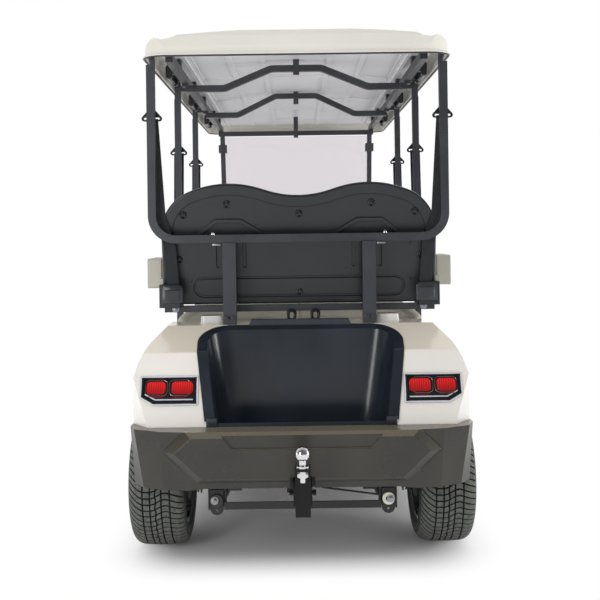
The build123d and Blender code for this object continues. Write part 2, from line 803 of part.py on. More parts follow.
# each belt's guide on the pillar behind it, and the strap from there to its retractor
belt_posts = {
    "rear": (hoop_x, hoop_y + hoop_tube / 2, 1690.0),
    "middle": (post_x, pillar_y[0] + tube / 2, 1622.0),
    "front": (post_x, pillar_y[1] + tube / 2, 1622.0),
}
with BuildPart() as belt_guides:
    for x, y, z in belt_posts.values():
        for side in (-1, 1):
            with BuildSketch(Plane.XZ.offset(-y - 8)) as guide:
                with Locations((side * x, z)):
                    SlotOverall(82, 22)
                with Locations((side * x, z + 36)):
                    Circle(9)
                make_hull()
                with Locations((side * x, z)):
                    SlotOverall(64, 9, mode=Mode.SUBTRACT)
            extrude(amount=8)
keep(belt_guides.part, "belt_guides")

# half way the straps pass the shell's edge
strap_width = 48.0
strap_thickness = 2.0
strap_bends = {
    "rear": [(519.0, -1398.0, 1180.0), (556.0, -1401.0, 1292.0)],
    "middle": [(530.0, -592.0, 1040.0), (584.0, -592.0, 1150.0)],
    "front": [(530.0, 208.0, 1040.0), (584.0, 208.0, 1150.0)],
}
with BuildPart() as belt_straps:
    for row, (x, y, z) in belt_posts.items():
        route = [(508.0, bench_y[row] - 66, 1024.0)] + strap_bends[row] + [(x, y + 12, z)]
        for side in (-1, 1):
            for lower, upper in zip(route, route[1:]):
                for px, py, pz in (lower, upper):
                    with BuildSketch(Plane(origin=(side * px, py, pz), x_dir=(1, 0, 0), z_dir=(0, 0, 1))):
                        Rectangle(strap_width, strap_thickness)
                loft(ruled=True)
keep(belt_straps.part, "belt_straps")

# ---------------------------------------------------------------- nose, dashboard and controls
nose_side = ([
    (1330, 400), (1905, 400), (1952, 420), (1990, 470), (2003, 560), (1985, 700), (1880, 800), (1640, 880), (1400, 962),
    (1330, 958),
], 10)
nose_section = (both_sides(
    [(600, 300), (612, 450), (615, 650), (605, 720), (590, 770), (548, 862), (505, 968), (480, 1040)]
), 20)
nose_plan = ([
    (600, 1250), (618, 1500), (618, 1720), (560, 1880), (400, 1975), (180, 2003), (-180, 2003), (-400, 1975),
    (-560, 1880), (-618, 1720), (-618, 1500), (-600, 1250),
], 40)
headlamp_outline = [(360, 700), (530, 690), (530, 640), (380, 620), (340, 640)]


def ahead(points, radius, side):
    """A prism along the cart with this (x, z) outline, at its front only."""
    with BuildPart() as prism:
        with BuildSketch(Plane.XZ.offset(-2100)) as outline:
            with BuildLine():
                Polyline([(side * x, z) for x, z in points], close=True)
            make_face()
            fillet(outline.vertices(), radius)
        extrude(amount=330)
    return prism.part


nose_form = three_way_form(nose_side, nose_section, nose_plan)


def raked(ahead, behind, low, high):
    """The side view of a strip along the windscreen's rake, from its y offsets and its two heights."""
    slope = (windscreen_top[0] - windscreen_foot[0]) / (windscreen_top[1] - windscreen_foot[1])
    return [
        (windscreen_foot[0] + slope * (z - windscreen_foot[1]) + y, z)
        for y, z in ((behind, low), (ahead, low), (ahead, high), (behind, high))
    ]


# the posts and the glass stand on the cowl's skin
glass_thickness = 5.0
with BuildPart() as windscreen:
    with BuildSketch(Plane.YZ):
        Polygon(*raked(15.5 + glass_thickness, 15.5, 900, windscreen_top[1] - 4), align=None)
    extrude(amount=windscreen_post_x + 12, both=True)
    add(nose_form, mode=Mode.SUBTRACT)
keep(windscreen.part, "windscreen")

# the glass's upper half folds down, held by a clamp round each post
clamp_z = 1800.0
with BuildPart() as windscreen_frame:
    for side in (-1, 1):
        with BuildSketch(Plane.YZ.offset(side * windscreen_post_x - tube / 2)):
            Polygon(*raked(15.5, -15.5, 900, windscreen_top[1]), align=None)
        extrude(amount=tube)
        with BuildSketch(Plane.YZ.offset(side * windscreen_post_x - 27)):
            Polygon(*raked(34, -24, clamp_z - 26, clamp_z + 26), align=None)
        extrude(amount=54)
    add(nose_form, mode=Mode.SUBTRACT)
    add(windscreen.part, mode=Mode.SUBTRACT)
keep(windscreen_frame.part, "windscreen_frame")

nose_inside = three_way_form(nose_side, nose_section, nose_plan, -body_wall)
headlamp_face = three_way_form(nose_side, nose_section, nose_plan, 2)
headlamp_back = three_way_form(nose_side, nose_section, nose_plan, -40)
headlamp_recess = three_way_form(nose_side, nose_section, nose_plan, -10)
headlamps = [ahead(headlamp_outline, 8, side) for side in (-1, 1)]
with BuildPart() as front_cowl:
    add(nose_form)
    add(nose_inside, mode=Mode.SUBTRACT)
    with Locations((0, 1610, 400)):
        Box(1160, 580, 24, mode=Mode.SUBTRACT)
    with Locations((0, 1330, 680)):
        Box(1160, 24, 540, mode=Mode.SUBTRACT)
    with BuildSketch(Plane.YZ):
        with Locations((front_axle_y, tyre_radius)):
            Circle(front_arch_radius)
    extrude(amount=reach, both=True, mode=Mode.SUBTRACT)
    add(headlamps, mode=Mode.SUBTRACT)
keep(front_cowl.part, "front_cowl")

# a curved liner inside the body over each wheel
liner_wall = 4.0
with BuildPart() as front_liners:
    with BuildSketch(Plane.YZ):
        with Locations((front_axle_y, tyre_radius)):
            Circle(front_arch_radius)
            Circle(front_arch_radius - liner_wall, mode=Mode.SUBTRACT)
    extrude(amount=reach, both=True)
    add(nose_inside, mode=Mode.INTERSECT)
    with Locations((0, front_axle_y, 500)):
        Box(620, 900, 600, mode=Mode.SUBTRACT)
with BuildPart() as wheel_liners:
    with BuildSketch(Plane.YZ):
        with Locations((rear_axle_y, tyre_radius)):
            Circle(rear_arch_radius)
            Circle(rear_arch_radius - liner_wall, mode=Mode.SUBTRACT)
    extrude(amount=reach, both=True)
    add(rear_inside, mode=Mode.INTERSECT)
    with Locations((0, rear_axle_y, 500)):
        Box(850, 900, 600, mode=Mode.SUBTRACT)
    add(front_liners.part)
keep(wheel_liners.part, "wheel_liners")

with BuildPart() as headlamp_housings:
    add(headlamp_recess)
    add(headlamp_back, mode=Mode.SUBTRACT)
    add(headlamps, mode=Mode.INTERSECT)
keep(headlamp_housings.part, "headlamp_housings")
with BuildPart() as headlamp_lenses:
    add(headlamp_face)
    add(headlamp_recess, mode=Mode.SUBTRACT)
    add(headlamps, mode=Mode.INTERSECT)
keep(headlamp_lenses.part, "headlamp_lenses")

front_bumper_plan = [
    (560, 1908), (575, 1930), (540, 1985), (400, 2035), (200, 2050), (-200, 2050), (-400, 2035), (-540, 1985),
    (-575, 1930), (-560, 1908),
]
nose_clear = three_way_form(nose_side, nose_section, nose_plan, 1)
with BuildPart() as front_bumper:
    with BuildSketch(Plane.XY.offset(330)):
        with BuildLine():
            Polyline(front_bumper_plan, close=True)
        make_face()
    extrude(amount=150)
    offset(amount=-10, openings=front_bumper.faces().sort_by(Axis.Z)[0:1] + front_bumper.faces().sort_by(Axis.Y)[0:1])
    add(nose_clear, mode=Mode.SUBTRACT)
    for side in (-1, 1):
        block((side * frame_x - 20, side * frame_x + 20), (1890, 2040), (332, 350))
keep(front_bumper.part, "front_bumper")

dash_side = [
    (1330, 540), (1265, 540), (1265, 780), (1238, 812), (1228, 935), (1248, 982), (1290, 1000), (1330, 985),
]
with BuildPart() as dashboard:
    with BuildSketch(Plane.YZ) as dash:
        with BuildLine():
            Polyline(dash_side, close=True)
        make_face()
        fillet(dash.vertices().group_by(Axis.Y)[0], 8)
    extrude(amount=500, both=True)
keep(dashboard.part, "dashboard")

wheel_centre = (-330.0, 960.0, 1130.0)
column_tilt = 50.0
shaft_radius = 10.0
column_axis = (0.0, -math.sin(math.radians(column_tilt)), math.cos(math.radians(column_tilt)))
steering_plane = Plane(origin=wheel_centre, x_dir=(1, 0, 0), z_dir=column_axis)
with BuildPart() as steering_wheel:
    with BuildSketch(Plane(origin=wheel_centre, x_dir=(1, 0, 0), z_dir=(0, column_axis[2], -column_axis[1]))):
        with Locations((163, 0)):
            Circle(13)
    revolve(axis=Axis(wheel_centre, column_axis))
    with BuildSketch(steering_plane.offset(-34)):
        Circle(38)
    extrude(amount=30)
    with BuildSketch(steering_plane.offset(-70)):
        Circle(shaft_radius)
    extrude(amount=36)
    for turn in (0, 120, 240):
        with BuildSketch(steering_plane.offset(-16)):
            with PolarLocations(88, 1, start_angle=90 + turn):
                Rectangle(136, 26)
        extrude(amount=9)
keep(steering_wheel.part, "steering_wheel")

with BuildPart() as steering_column:
    with BuildSketch(steering_plane.offset(-36)):
        Circle(27)
    extrude(amount=-390)
    with BuildSketch(steering_plane.offset(-36)):
        Circle(shaft_radius + hub_clearance)
    extrude(amount=-40, mode=Mode.SUBTRACT)
    add(dashboard.part, mode=Mode.SUBTRACT)
keep(steering_column.part, "steering_column")

with BuildPart() as pedals:
    for x in (-400, -250):
        with BuildSketch(Plane(origin=(x, 1165, 470), x_dir=(1, 0, 0), z_dir=(0, -0.64, 0.77))) as pad:
            Rectangle(90, 110)
            fillet(pad.vertices(), 8)
        extrude(amount=8)
        with BuildSketch(Plane.YZ.offset(x - 8)):
            Polygon((1168, 468), (1178, 459), (1235.68, 500), (1243.57, 512), align=None)
        extrude(amount=16)
keep(pedals.part, "pedals")

# ---------------------------------------------------------------- rear axle, springs
drum_x = wheel_x - 100
with BuildPart() as rear_axle:
    with BuildSketch(Plane.YZ.offset(-drum_x)):
        with Locations((rear_axle_y, tyre_radius)):
            Circle(30)
    extrude(amount=2 * drum_x)
    for side in (-1, 1):
        with BuildSketch(Plane.YZ.offset(side * drum_x)):
            with Locations((rear_axle_y, tyre_radius)):
                Circle(98)
        extrude(amount=side * 88)
        with BuildSketch(Plane.YZ.offset(side * (wheel_x - 12))):
            with Locations((rear_axle_y, tyre_radius)):
                Circle(spindle_radius)
        extrude(amount=side * 50)
        block(
            (side * spring_x - 28, side * spring_x + 28), (rear_axle_y - 34, rear_axle_y + 34), (232, 262),
        )
    with BuildSketch(Plane.YZ.offset(-60)) as gearbox:
        with Locations((rear_axle_y, tyre_radius)):
            Circle(76)
        with Locations((rear_axle_y + 165, tyre_radius + 12)):
            Circle(66)
        make_hull()
    extrude(amount=100)
    with BuildSketch(Plane.YZ.offset(40)):
        with Locations((rear_axle_y + 165, tyre_radius + 12)):
            Circle(72)
    extrude(amount=165)
keep(rear_axle.part, "rear_axle")

leaf_width = 50.0
leaf_thickness = 8.0
with BuildPart() as leaf_springs:
    for side in (-1, 1):
        for number, cut in enumerate((0, 90, 180)):
            low = 224.0 - number * leaf_thickness
            with BuildSketch(Plane.YZ.offset(side * spring_x - leaf_width / 2)):
                with BuildLine():
                    Polyline(
                        (spring_ends[0] + cut, low + 22 - cut * 0.06), (rear_axle_y - 60, low), (rear_axle_y + 60, low),
                        (spring_ends[1] - cut, low + 22 - cut * 0.06), (spring_ends[1] - cut, low + 30 - cut * 0.06),
                        (rear_axle_y + 60, low + 8), (rear_axle_y - 60, low + 8),
                        (spring_ends[0] + cut, low + 30 - cut * 0.06), close=True,
                    )
                make_face()
            extrude(amount=leaf_width)
        for y in spring_ends:
            with BuildSketch(Plane.YZ.offset(side * spring_x - hanger_half)):
                with Locations((y, spring_eye_z)):
                    Circle(22)
            extrude(amount=2 * hanger_half)
keep(leaf_springs.part, "leaf_springs")

# ---------------------------------------------------------------- front axle and steering
with BuildPart() as front_axle:
    block((50 - kingpin_x, kingpin_x - 50), (front_axle_y - 26, front_axle_y + 26), (238, 290))
    for side in (-1, 1):
        block((side * frame_x - 25, side * frame_x + 25), (front_axle_y - 25, front_axle_y + 25), (290, frame_bottom))
        # the yoke that holds the kingpin
        for low, high in ((196, 210), (320, 334)):
            faces = sorted((side * (kingpin_x - 50), side * (kingpin_x + 22)))
            block(faces, (front_axle_y - 24, front_axle_y + 24), (low, high))
        faces = sorted((side * (kingpin_x - 50), side * (kingpin_x - 33)))
        block(faces, (front_axle_y - 26, front_axle_y + 26), (196, 334))
keep(front_axle.part, "front_axle")

for name, side in (("knuckle_left", -1), ("knuckle_right", 1)):
    with BuildPart() as knuckle:
        with BuildSketch(Plane.XY.offset(215)):
            with Locations((side * kingpin_x, front_axle_y)):
                Circle(20)
        extrude(amount=100)
        with BuildSketch(Plane.YZ.offset(side * (kingpin_x + 10))):
            with Locations((front_axle_y, tyre_radius)):
                Circle(30)
        extrude(amount=side * 33)
        with BuildSketch(Plane.YZ.offset(side * (kingpin_x + 43))):
            with Locations((front_axle_y, tyre_radius)):
                Circle(spindle_radius)
        extrude(amount=side * 50)
        block(
            (side * kingpin_x - 14, side * kingpin_x + 14), (steering_pin_y - 16, front_axle_y - 10), (222, 238),
        )
        with BuildSketch(Plane.XY.offset(195)):
            with Locations((side * kingpin_x, steering_pin_y)):
                Circle(8)
        extrude(amount=27)
    keep(knuckle.part, name)

with BuildPart() as tie_rod:
    with BuildSketch(Plane.YZ.offset(-kingpin_x + 12)):
        with Locations((steering_pin_y, tie_rod_z)):
            Circle(8)
    extrude(amount=2 * kingpin_x - 24)
    for side in (-1, 1):
        with BuildSketch(Plane.XY.offset(tie_rod_z - 8)):
            with Locations((side * kingpin_x, steering_pin_y)):
                Circle(17)
                Circle(8.06, mode=Mode.SUBTRACT)
        extrude(amount=16)
    for side in (-1, 1):
        with Locations((side * kingpin_x, steering_pin_y, tie_rod_z)):
            Cylinder(8.06, 40, mode=Mode.SUBTRACT)
keep(tie_rod.part, "tie_rod")

# ---------------------------------------------------------------- wheels
tyre_profile = [
    (-88.0, 178.5), (-88.5, 190.0), (-tyre_half_width, 222.0), (-99.0, 247.0), (-82.0, 259.0), (-50.0, 264.0),
    (50.0, tyre_radius), (82.0, 259.0), (99.0, 247.0), (tyre_half_width, 222.0), (88.5, 190.0), (88.0, 178.5),
    (78.0, 178.5), (94.0, 222.0), (80.0, 246.0), (-80.0, 246.0), (-94.0, 222.0), (-78.0, 178.5),
]
rim_profile = [
    (-94.0, 170.0), (-94.0, 186.0), (-89.5, 186.0), (-89.5, 178.2), (-50.0, 178.2), (-40.0, 164.0), (30.0, 164.0),
    (50.0, 178.2), (89.5, 178.2), (89.5, 186.0), (94.0, 186.0), (94.0, 170.0), (55.0, 170.0), (38.0, 156.0),
    (-44.0, 156.0), (-56.0, 170.0),
]
wheels = (
    ("rear_left", -1, rear_axle_y), ("rear_right", 1, rear_axle_y),
    ("front_left", -1, front_axle_y), ("front_right", 1, front_axle_y),
)
spoke_count = 7
for name, side, y in wheels:
    centre = Vector(side * wheel_x, y, tyre_radius)
    axle_line = Axis(centre, (1, 0, 0))
    upright = Plane(origin=centre, x_dir=(side, 0, 0), z_dir=(0, -side, 0))
    across = Plane(origin=centre, x_dir=(0, 1, 0), z_dir=(side, 0, 0))
    with BuildPart() as tyre:
        with BuildSketch(upright):
            with BuildLine():
                Polyline(tyre_profile, close=True)
            make_face()
        revolve(axis=axle_line)
    keep(tyre.part, f"tyre_{name}")
    with BuildPart() as rim:
        with BuildSketch(upright):
            with BuildLine():
                Polyline(rim_profile, close=True)
            make_face()
        revolve(axis=axle_line)
        with BuildSketch(across.offset(14)):
            Circle(160)
            Circle(spindle_radius + hub_clearance, mode=Mode.SUBTRACT)
            with PolarLocations(105, spoke_count, start_angle=180 / spoke_count):
                Trapezoid(62, 74, 101, rotation=90, mode=Mode.SUBTRACT)
        extrude(amount=16)
        with BuildSketch(across.offset(-3)):
            Circle(46)
            Circle(spindle_radius + hub_clearance, mode=Mode.SUBTRACT)
        extrude(amount=50)
    keep(rim.part, f"rim_{name}")
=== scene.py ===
import json
import math

import bmesh
import bpy
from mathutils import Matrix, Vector


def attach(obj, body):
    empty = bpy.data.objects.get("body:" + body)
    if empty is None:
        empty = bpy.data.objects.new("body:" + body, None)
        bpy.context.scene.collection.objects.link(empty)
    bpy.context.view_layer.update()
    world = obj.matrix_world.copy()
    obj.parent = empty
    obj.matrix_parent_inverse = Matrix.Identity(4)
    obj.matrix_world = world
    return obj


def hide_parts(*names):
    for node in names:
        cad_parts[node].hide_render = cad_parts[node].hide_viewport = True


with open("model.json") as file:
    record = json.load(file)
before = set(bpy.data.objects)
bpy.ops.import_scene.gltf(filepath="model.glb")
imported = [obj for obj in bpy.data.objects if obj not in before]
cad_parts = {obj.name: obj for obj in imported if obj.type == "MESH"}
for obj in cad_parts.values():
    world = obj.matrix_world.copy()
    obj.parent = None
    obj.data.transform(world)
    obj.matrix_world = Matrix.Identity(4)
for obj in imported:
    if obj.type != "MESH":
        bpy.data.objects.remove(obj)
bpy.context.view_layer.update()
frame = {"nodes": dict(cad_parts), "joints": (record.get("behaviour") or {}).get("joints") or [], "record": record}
scene = bpy.context.scene
nodes = frame["nodes"]
slotOf = {part["node"]: part["material_slot"] for part in frame["record"]["subparts"]}
mm = 0.001
colourA, colourB, colourOut = 6, 7, 2  # a Mix node's colour sockets
materials = {}


def linear(code):  # sRGB hex to linear RGBA
    parts = [int(code[i:i + 2], 16) / 255 for i in (1, 3, 5)]
    return tuple(c / 12.92 if c <= 0.04045 else ((c + 0.055) / 1.055) ** 2.4 for c in parts) + (1.0,)


def addNode(tree, kind, settings=None, links=None, feeds=None):  # one node: its values, sources and target
    node = tree.nodes.new(kind)
    for name, value in (settings or {}).items():
        value = linear(value) if isinstance(value, str) and value.startswith("#") else value
        if isinstance(name, str) and hasattr(node, name):
            setattr(node, name, value)
        else:
            node.inputs[name].default_value = value
    for name, source in (links or {}).items():
        tree.links.new(source, node.inputs[name])
    if feeds is not None:
        tree.links.new(next(socket for socket in node.outputs if socket.enabled), feeds)
    return node


def seenDirectly(tree):  # the kinds of ray, and 1 for a ray from the camera, also past glass
    ray = addNode(tree, "ShaderNodeLightPath").outputs
    straight = {0: ray["Is Camera Ray"], 1: ray["Is Transmission Ray"]}
    return ray, addNode(tree, "ShaderNodeMath", {"operation": "MAXIMUM"}, straight).outputs[0]


def newMaterial(slot, name, values):  # a Principled material, its constants on the shader's own sockets
    materials[slot] = bpy.data.materials.new(name)
    materials[slot].use_nodes = True
    tree = materials[slot].node_tree
    inputs = tree.nodes["Principled BSDF"].inputs
    for socket, value in values.items():
        inputs[socket].default_value = linear(value) if isinstance(value, str) else value
    place = addNode(tree, "ShaderNodeTexCoord").outputs["Object"]
    return tree, inputs, place


def cloudy(tree, inputs, place, colours, size, rough):  # colour and roughness drift over the surface
    cloud = addNode(tree, "ShaderNodeTexNoise", {"Scale": 1 / size, "Detail": 4.0}, {"Vector": place})
    share = addNode(
        tree, "ShaderNodeMapRange", {"From Min": 0.3, "From Max": 0.7}, {"Value": cloud.outputs["Fac"]})
    share = share.outputs["Result"]
    addNode(
        tree, "ShaderNodeMapRange", {"To Min": rough[0], "To Max": rough[1]}, {"Value": share},
        inputs["Roughness"])
    tint = addNode(
        tree, "ShaderNodeMix", {"data_type": "RGBA", colourA: colours[0], colourB: colours[1]}, {0: share},
        inputs["Base Color"])
    return tint.outputs[colourOut]


def paintedReflectionOnTop(tree, inputs, paint, dustAndReflection):  # painted reflection: faces that look up are mixed towards another tone, standing in for what they reflect
    normal = addNode(tree, "ShaderNodeNewGeometry").outputs["Normal"]
    facing = addNode(tree, "ShaderNodeSeparateXYZ", None, {0: normal})
    share = addNode(
        tree, "ShaderNodeMapRange", {"From Min": 0.25, "From Max": 0.85}, {"Value": facing.outputs["Z"]})
    addNode(
        tree, "ShaderNodeMix", {"data_type": "RGBA", colourB: dustAndReflection},
        {0: share.outputs["Result"], colourA: paint}, inputs["Base Color"])


def edgeShaded(tree, inputs, paint, edgeShade, width):  # painted shade: the colour goes dark along embossed edges and grooves, where the bevelled normal turns from the true one
    across = addNode(tree, "ShaderNodeBevel", {"samples": 6, "Radius": width})
    normal = addNode(tree, "ShaderNodeNewGeometry").outputs["Normal"]
    turn = addNode(
        tree, "ShaderNodeVectorMath", {"operation": "DOT_PRODUCT"}, {0: across.outputs["Normal"], 1: normal})
    share = addNode(
        tree, "ShaderNodeMapRange", {"From Min": 0.9995, "From Max": 0.965}, {"Value": turn.outputs["Value"]})
    addNode(
        tree, "ShaderNodeMix", {"data_type": "RGBA", colourB: edgeShade},
        {0: share.outputs["Result"], colourA: paint}, inputs["Base Color"])


def mouldedPlastic(slot, name, colours, rough, grain, depth, strength, level, edge):  # lengths in mm
    tree, inputs, place = newMaterial(slot, name, {"IOR": 1.49, "Specular IOR Level": level})
    paint = cloudy(tree, inputs, place, colours, 0.2, rough)
    cells = addNode(tree, "ShaderNodeTexVoronoi", {"Scale": 1 / (grain * mm)}, {"Vector": place})
    rounded = addNode(tree, "ShaderNodeBevel", {"samples": 6, "Radius": edge * mm})
    addNode(
        tree, "ShaderNodeBump", {"Strength": strength, "Distance": depth * mm},
        {"Height": cells.outputs["Distance"], "Normal": rounded.outputs["Normal"]}, inputs["Normal"])
    return tree, inputs, place, paint


def coatedSteel(slot, name, colours, rough, peel, strength, level=0.5):  # sprayed coat over steel tube
    tree, inputs, place = newMaterial(slot, name, {"IOR": 1.5, "Specular IOR Level": level})
    cloudy(tree, inputs, place, colours, 0.15, rough)
    skin = addNode(tree, "ShaderNodeTexNoise", {"Scale": 1 / peel, "Detail": 3.0}, {"Vector": place})
    rounded = addNode(tree, "ShaderNodeBevel", {"samples": 6, "Radius": 1.5 * mm})
    addNode(
        tree, "ShaderNodeBump", {"Strength": strength, "Distance": 0.3 * mm},
        {"Height": skin.outputs["Fac"], "Normal": rounded.outputs["Normal"]}, inputs["Normal"])


def bareMetal(slot, name, colours, rough, grain, strength, stretch=(1, 1, 1)):  # grain across the stretch
    tree, inputs, place = newMaterial(slot, name, {"Metallic": 1.0})
    cloudy(tree, inputs, place, colours, 0.05, rough)
    lines = addNode(tree, "ShaderNodeMapping", {"Scale": stretch}, {"Vector": place})
    brush = addNode(
        tree, "ShaderNodeTexNoise", {"Scale": 1 / grain, "Detail": 3.0}, {"Vector": lines.outputs[0]})
    addNode(
        tree, "ShaderNodeBump", {"Strength": strength, "Distance": 0.1 * mm},
        {"Height": brush.outputs["Fac"]}, inputs["Normal"])


def clearAcrylic(slot, name, colour, ior, smear, rough):  # a clear sheet with wiping smears
    tree, inputs, place = newMaterial(
        slot, name, {"Base Color": colour, "IOR": ior, "Transmission Weight": 1.0})
    wipe = addNode(tree, "ShaderNodeTexNoise", smear, {"Vector": place})
    addNode(
        tree, "ShaderNodeMapRange", {"To Min": rough[0], "To Max": rough[1]}, {"Value": wipe.outputs["Fac"]},
        inputs["Roughness"])


print("materials")
# gloss-painted ABS: an even white under lacquer with a faint long orange peel, and a painted beige reflection on
# the faces that look up
tree, inputs, place = newMaterial(
    "body_paint", "glossPaintedAbs", {"IOR": 1.5, "Coat Weight": 0.6, "Coat Roughness": 0.06})
paint = cloudy(tree, inputs, place, ("#DEDCD8", "#E6E5E1"), 0.45, (0.2, 0.28))
# painted reflection: beige on the faces that look up
paintedReflectionOnTop(tree, inputs, paint, "#DDD5C6")
peel = addNode(tree, "ShaderNodeTexNoise", {"Scale": 1 / (4 * mm), "Detail": 1.0}, {"Vector": place})
rounded = addNode(tree, "ShaderNodeBevel", {"samples": 6, "Radius": 5 * mm})
addNode(
    tree, "ShaderNodeBump", {"Strength": 0.06, "Distance": 0.3 * mm},
    {"Height": peel.outputs["Fac"], "Normal": rounded.outputs["Normal"]}, inputs["Normal"])

# vacuum-formed acrylic-capped roof skin: satin and a touch warmer
tree, inputs, place = newMaterial(
    "roof_skin", "vacuumFormedRoofSkin", {"IOR": 1.5, "Coat Weight": 0.08, "Coat Roughness": 0.3})
cloudy(tree, inputs, place, ("#DBD8CE", "#E2DFD7"), 0.35, (0.44, 0.54))
grain = addNode(tree, "ShaderNodeTexNoise", {"Scale": 1 / (1.4 * mm), "Detail": 2.0}, {"Vector": place})
addNode(
    tree, "ShaderNodeBump", {"Strength": 0.12, "Distance": 0.15 * mm}, {"Height": grain.outputs["Fac"]},
    inputs["Normal"])

# slot: name, colours, roughness range, grain and its depth in mm, strength, specular level, edge in mm
plastics = {
    # injection-moulded polypropylene with a fine leather grain: blue-black, half dull
    "black_plastic": ("grainedPolypropylene", ("#1C1F23", "#25282D"), (0.26, 0.38), 1.6, 0.3, 0.22, 0.5, 3.5),
    # moulded TPO bumper skin: warm dark grey, grained, with a soft sheen
    "bumper_plastic": ("grainedTpo", ("#2C2B27", "#363530"), (0.24, 0.36), 1.8, 0.3, 0.2, 0.5, 4.0),
    # rotomoulded polyethylene tub: waxy blue-black with long soft highlights
    "well_plastic": ("rotomouldedPolyethylene", ("#1E232A", "#272D36"), (0.18, 0.27), 5.0, 0.2, 0.1, 0.5, 4.0),
    # vacuum-formed ABS ceiling: pale cool grey with a fine haircell
    "liner": ("haircellAbs", ("#E2E2E7", "#ECECF0"), (0.3, 0.45), 2.2, 0.3, 0.25, 0.5, 2.0),
    # lamp housing ABS: piano black, nearly smooth
    "lamp_plastic": ("glossLampAbs", ("#17171A", "#202024"), (0.12, 0.2), 6.0, 0.1, 0.05, 0.5, 2.0),
    # soft-touch PVC steering wheel skin: dull, with a tight grain
    "wheel_grip": ("softGripPvc", ("#1C1C1E", "#262628"), (0.5, 0.62), 1.1, 0.3, 0.5, 0.35, 2.0),
    # polypropylene battery case: plain satin black
    "battery_case": ("batteryPolypropylene", ("#1E1E20", "#2A2A2C"), (0.4, 0.55), 2.5, 0.2, 0.2, 0.5, 2.0),
    # integral-skin polyurethane armrest: khaki grey, soft and dull
    "armrest_foam": ("integralSkinFoam", ("#B4B2A6", "#C0BEB3"), (0.5, 0.62), 1.3, 0.35, 0.4, 0.35, 2.0),
    # silver-lacquered ABS trim: pale and satin, so that it stays light beside the dark housing
    "silvered": ("silverLacqueredAbs", ("#B9BBC0", "#CFD1D6"), (0.14, 0.22), 6.0, 0.1, 0.05, 0.5, 2.0),
    # webbing reel cover in black nylon: glossier than the shell
    "reel_plastic": ("reelNylon", ("#26272B", "#33353A"), (0.2, 0.32), 3.0, 0.15, 0.1, 0.5, 1.5),
    # unlit red PMMA below the lenses: deep, with little coming back
    "dim_red": ("unlitRedAcrylic", ("#4A0B0E", "#6A1216"), (0.08, 0.16), 9.0, 0.1, 0.05, 0.5, 2.0),
    # cast polyurethane bush: cream
    "bush_rubber": ("castPolyurethane", ("#D2D0B8", "#E2E0CA"), (0.35, 0.5), 4.0, 0.1, 0.15, 0.5, 2.0),
}
moulded = {slot: mouldedPlastic(slot, *values) for slot, values in plastics.items()}
tree, inputs, place, paint = moulded["black_plastic"]
# painted shade: near black along the shell's embossed edges and grooves
edgeShaded(tree, inputs, paint, "#050607", 3.5 * mm)
tree, inputs, place, paint = moulded["bumper_plastic"]
# painted reflection: the bumper's ledges and top chamfer take a warm lighter tone, standing in for the body
# reflected in them
paintedReflectionOnTop(tree, inputs, paint, "#6C6455")
tree, inputs, place, paint = moulded["bush_rubber"]  # cream on the right; the left bush is painted near black as shade
across = addNode(tree, "ShaderNodeSeparateXYZ", None, {0: place})
unshadedSide = addNode(
    tree, "ShaderNodeMapRange", {"From Min": -0.05, "From Max": 0.05}, {"Value": across.outputs["X"]})
# painted shade: the left bush goes dark, the right keeps its cream
addNode(
    tree, "ShaderNodeMix", {"data_type": "RGBA", colourA: "#2B2A26"},
    {0: unshadedSide.outputs["Result"], colourB: paint}, inputs["Base Color"])

# powder-coated steel tube: slate grey, satin, with a fine orange peel
coatedSteel(
    "tube_paint", "slatePowderCoat", ("#2E2F34", "#383A40"), (0.36, 0.48), peel=1.5 * mm, strength=0.3)
# electro-dipped chassis steel: thin black coat, a little dusty
coatedSteel(
    "chassis_paint", "blackDippedSteel", ("#19191A", "#2A2928"), (0.45, 0.7), peel=3 * mm, strength=0.3)
# painted cast iron drums and axle: coarse sand-cast skin
coatedSteel("cast", "paintedCastIron", ("#262627", "#3A3937"), (0.55, 0.8), peel=2.4 * mm, strength=0.9)
# tow bar in gloss black stove enamel on steel: deep, with a thin shine
coatedSteel(
    "gloss_steel", "stoveEnamelledSteel", ("#0C0D0E", "#141517"), (0.14, 0.24),
    peel=6 * mm, strength=0.06, level=0.22)

# turned aluminium wheel face: fine lathe marks
bareMetal("rim_alloy", "turnedAluminium", ("#A6A8AC", "#BCBEC2"), (0.2, 0.32), 2 * mm, 0.15, (4, 1, 1))
# bright chrome plating over a polished ball
bareMetal("chrome", "chromePlate", ("#D2D2D4", "#E6E6E8"), (0.04, 0.1), 8 * mm, 0.02)
# black chrome round the lamp lenses, thin enough to shine grey
bareMetal("dark_chrome", "blackChrome", ("#8A8A86", "#A6A6A2"), (0.1, 0.2), 8 * mm, 0.02)
# zinc-plated steel fasteners and rods: dull silver, drawn lengthwise
bareMetal("steel", "zincPlatedSteel", ("#8A8C8E", "#A9ABAD"), (0.3, 0.45), 2 * mm, 0.2, (1, 1, 6))

# cast acrylic windscreen: clear with a faint lavender tint
clearAcrylic("glass", "tintedAcrylic", "#E2DDE1", 1.49, {"Scale": 7.0, "Detail": 3.0}, (0.02, 0.09))
# clear polycarbonate lamp cover
clearAcrylic("clear_lens", "clearPolycarbonate", "#F2F3F5", 1.58, {"Scale": 30.0, "Detail": 2.0}, (0.03, 0.1))

# calendered PVC upholstery over foam: khaki-cream leather grain, low sheen
tree, inputs, place = newMaterial("upholstery", "grainedVinyl", {"IOR": 1.45, "Specular IOR Level": 0.4})
cloudy(tree, inputs, place, ("#B5B1A4", "#C3BFB2"), 0.12, (0.42, 0.55))
cells = addNode(
    tree, "ShaderNodeTexVoronoi", {"feature": "DISTANCE_TO_EDGE", "Scale": 1 / (2.6 * mm)}, {"Vector": place})
crease = addNode(tree, "ShaderNodeMapRange", {"From Max": 0.12}, {"Value": cells.outputs["Distance"]})
addNode(
    tree, "ShaderNodeBump", {"Strength": 0.45, "Distance": 0.25 * mm}, {"Height": crease.outputs["Result"]},
    inputs["Normal"])
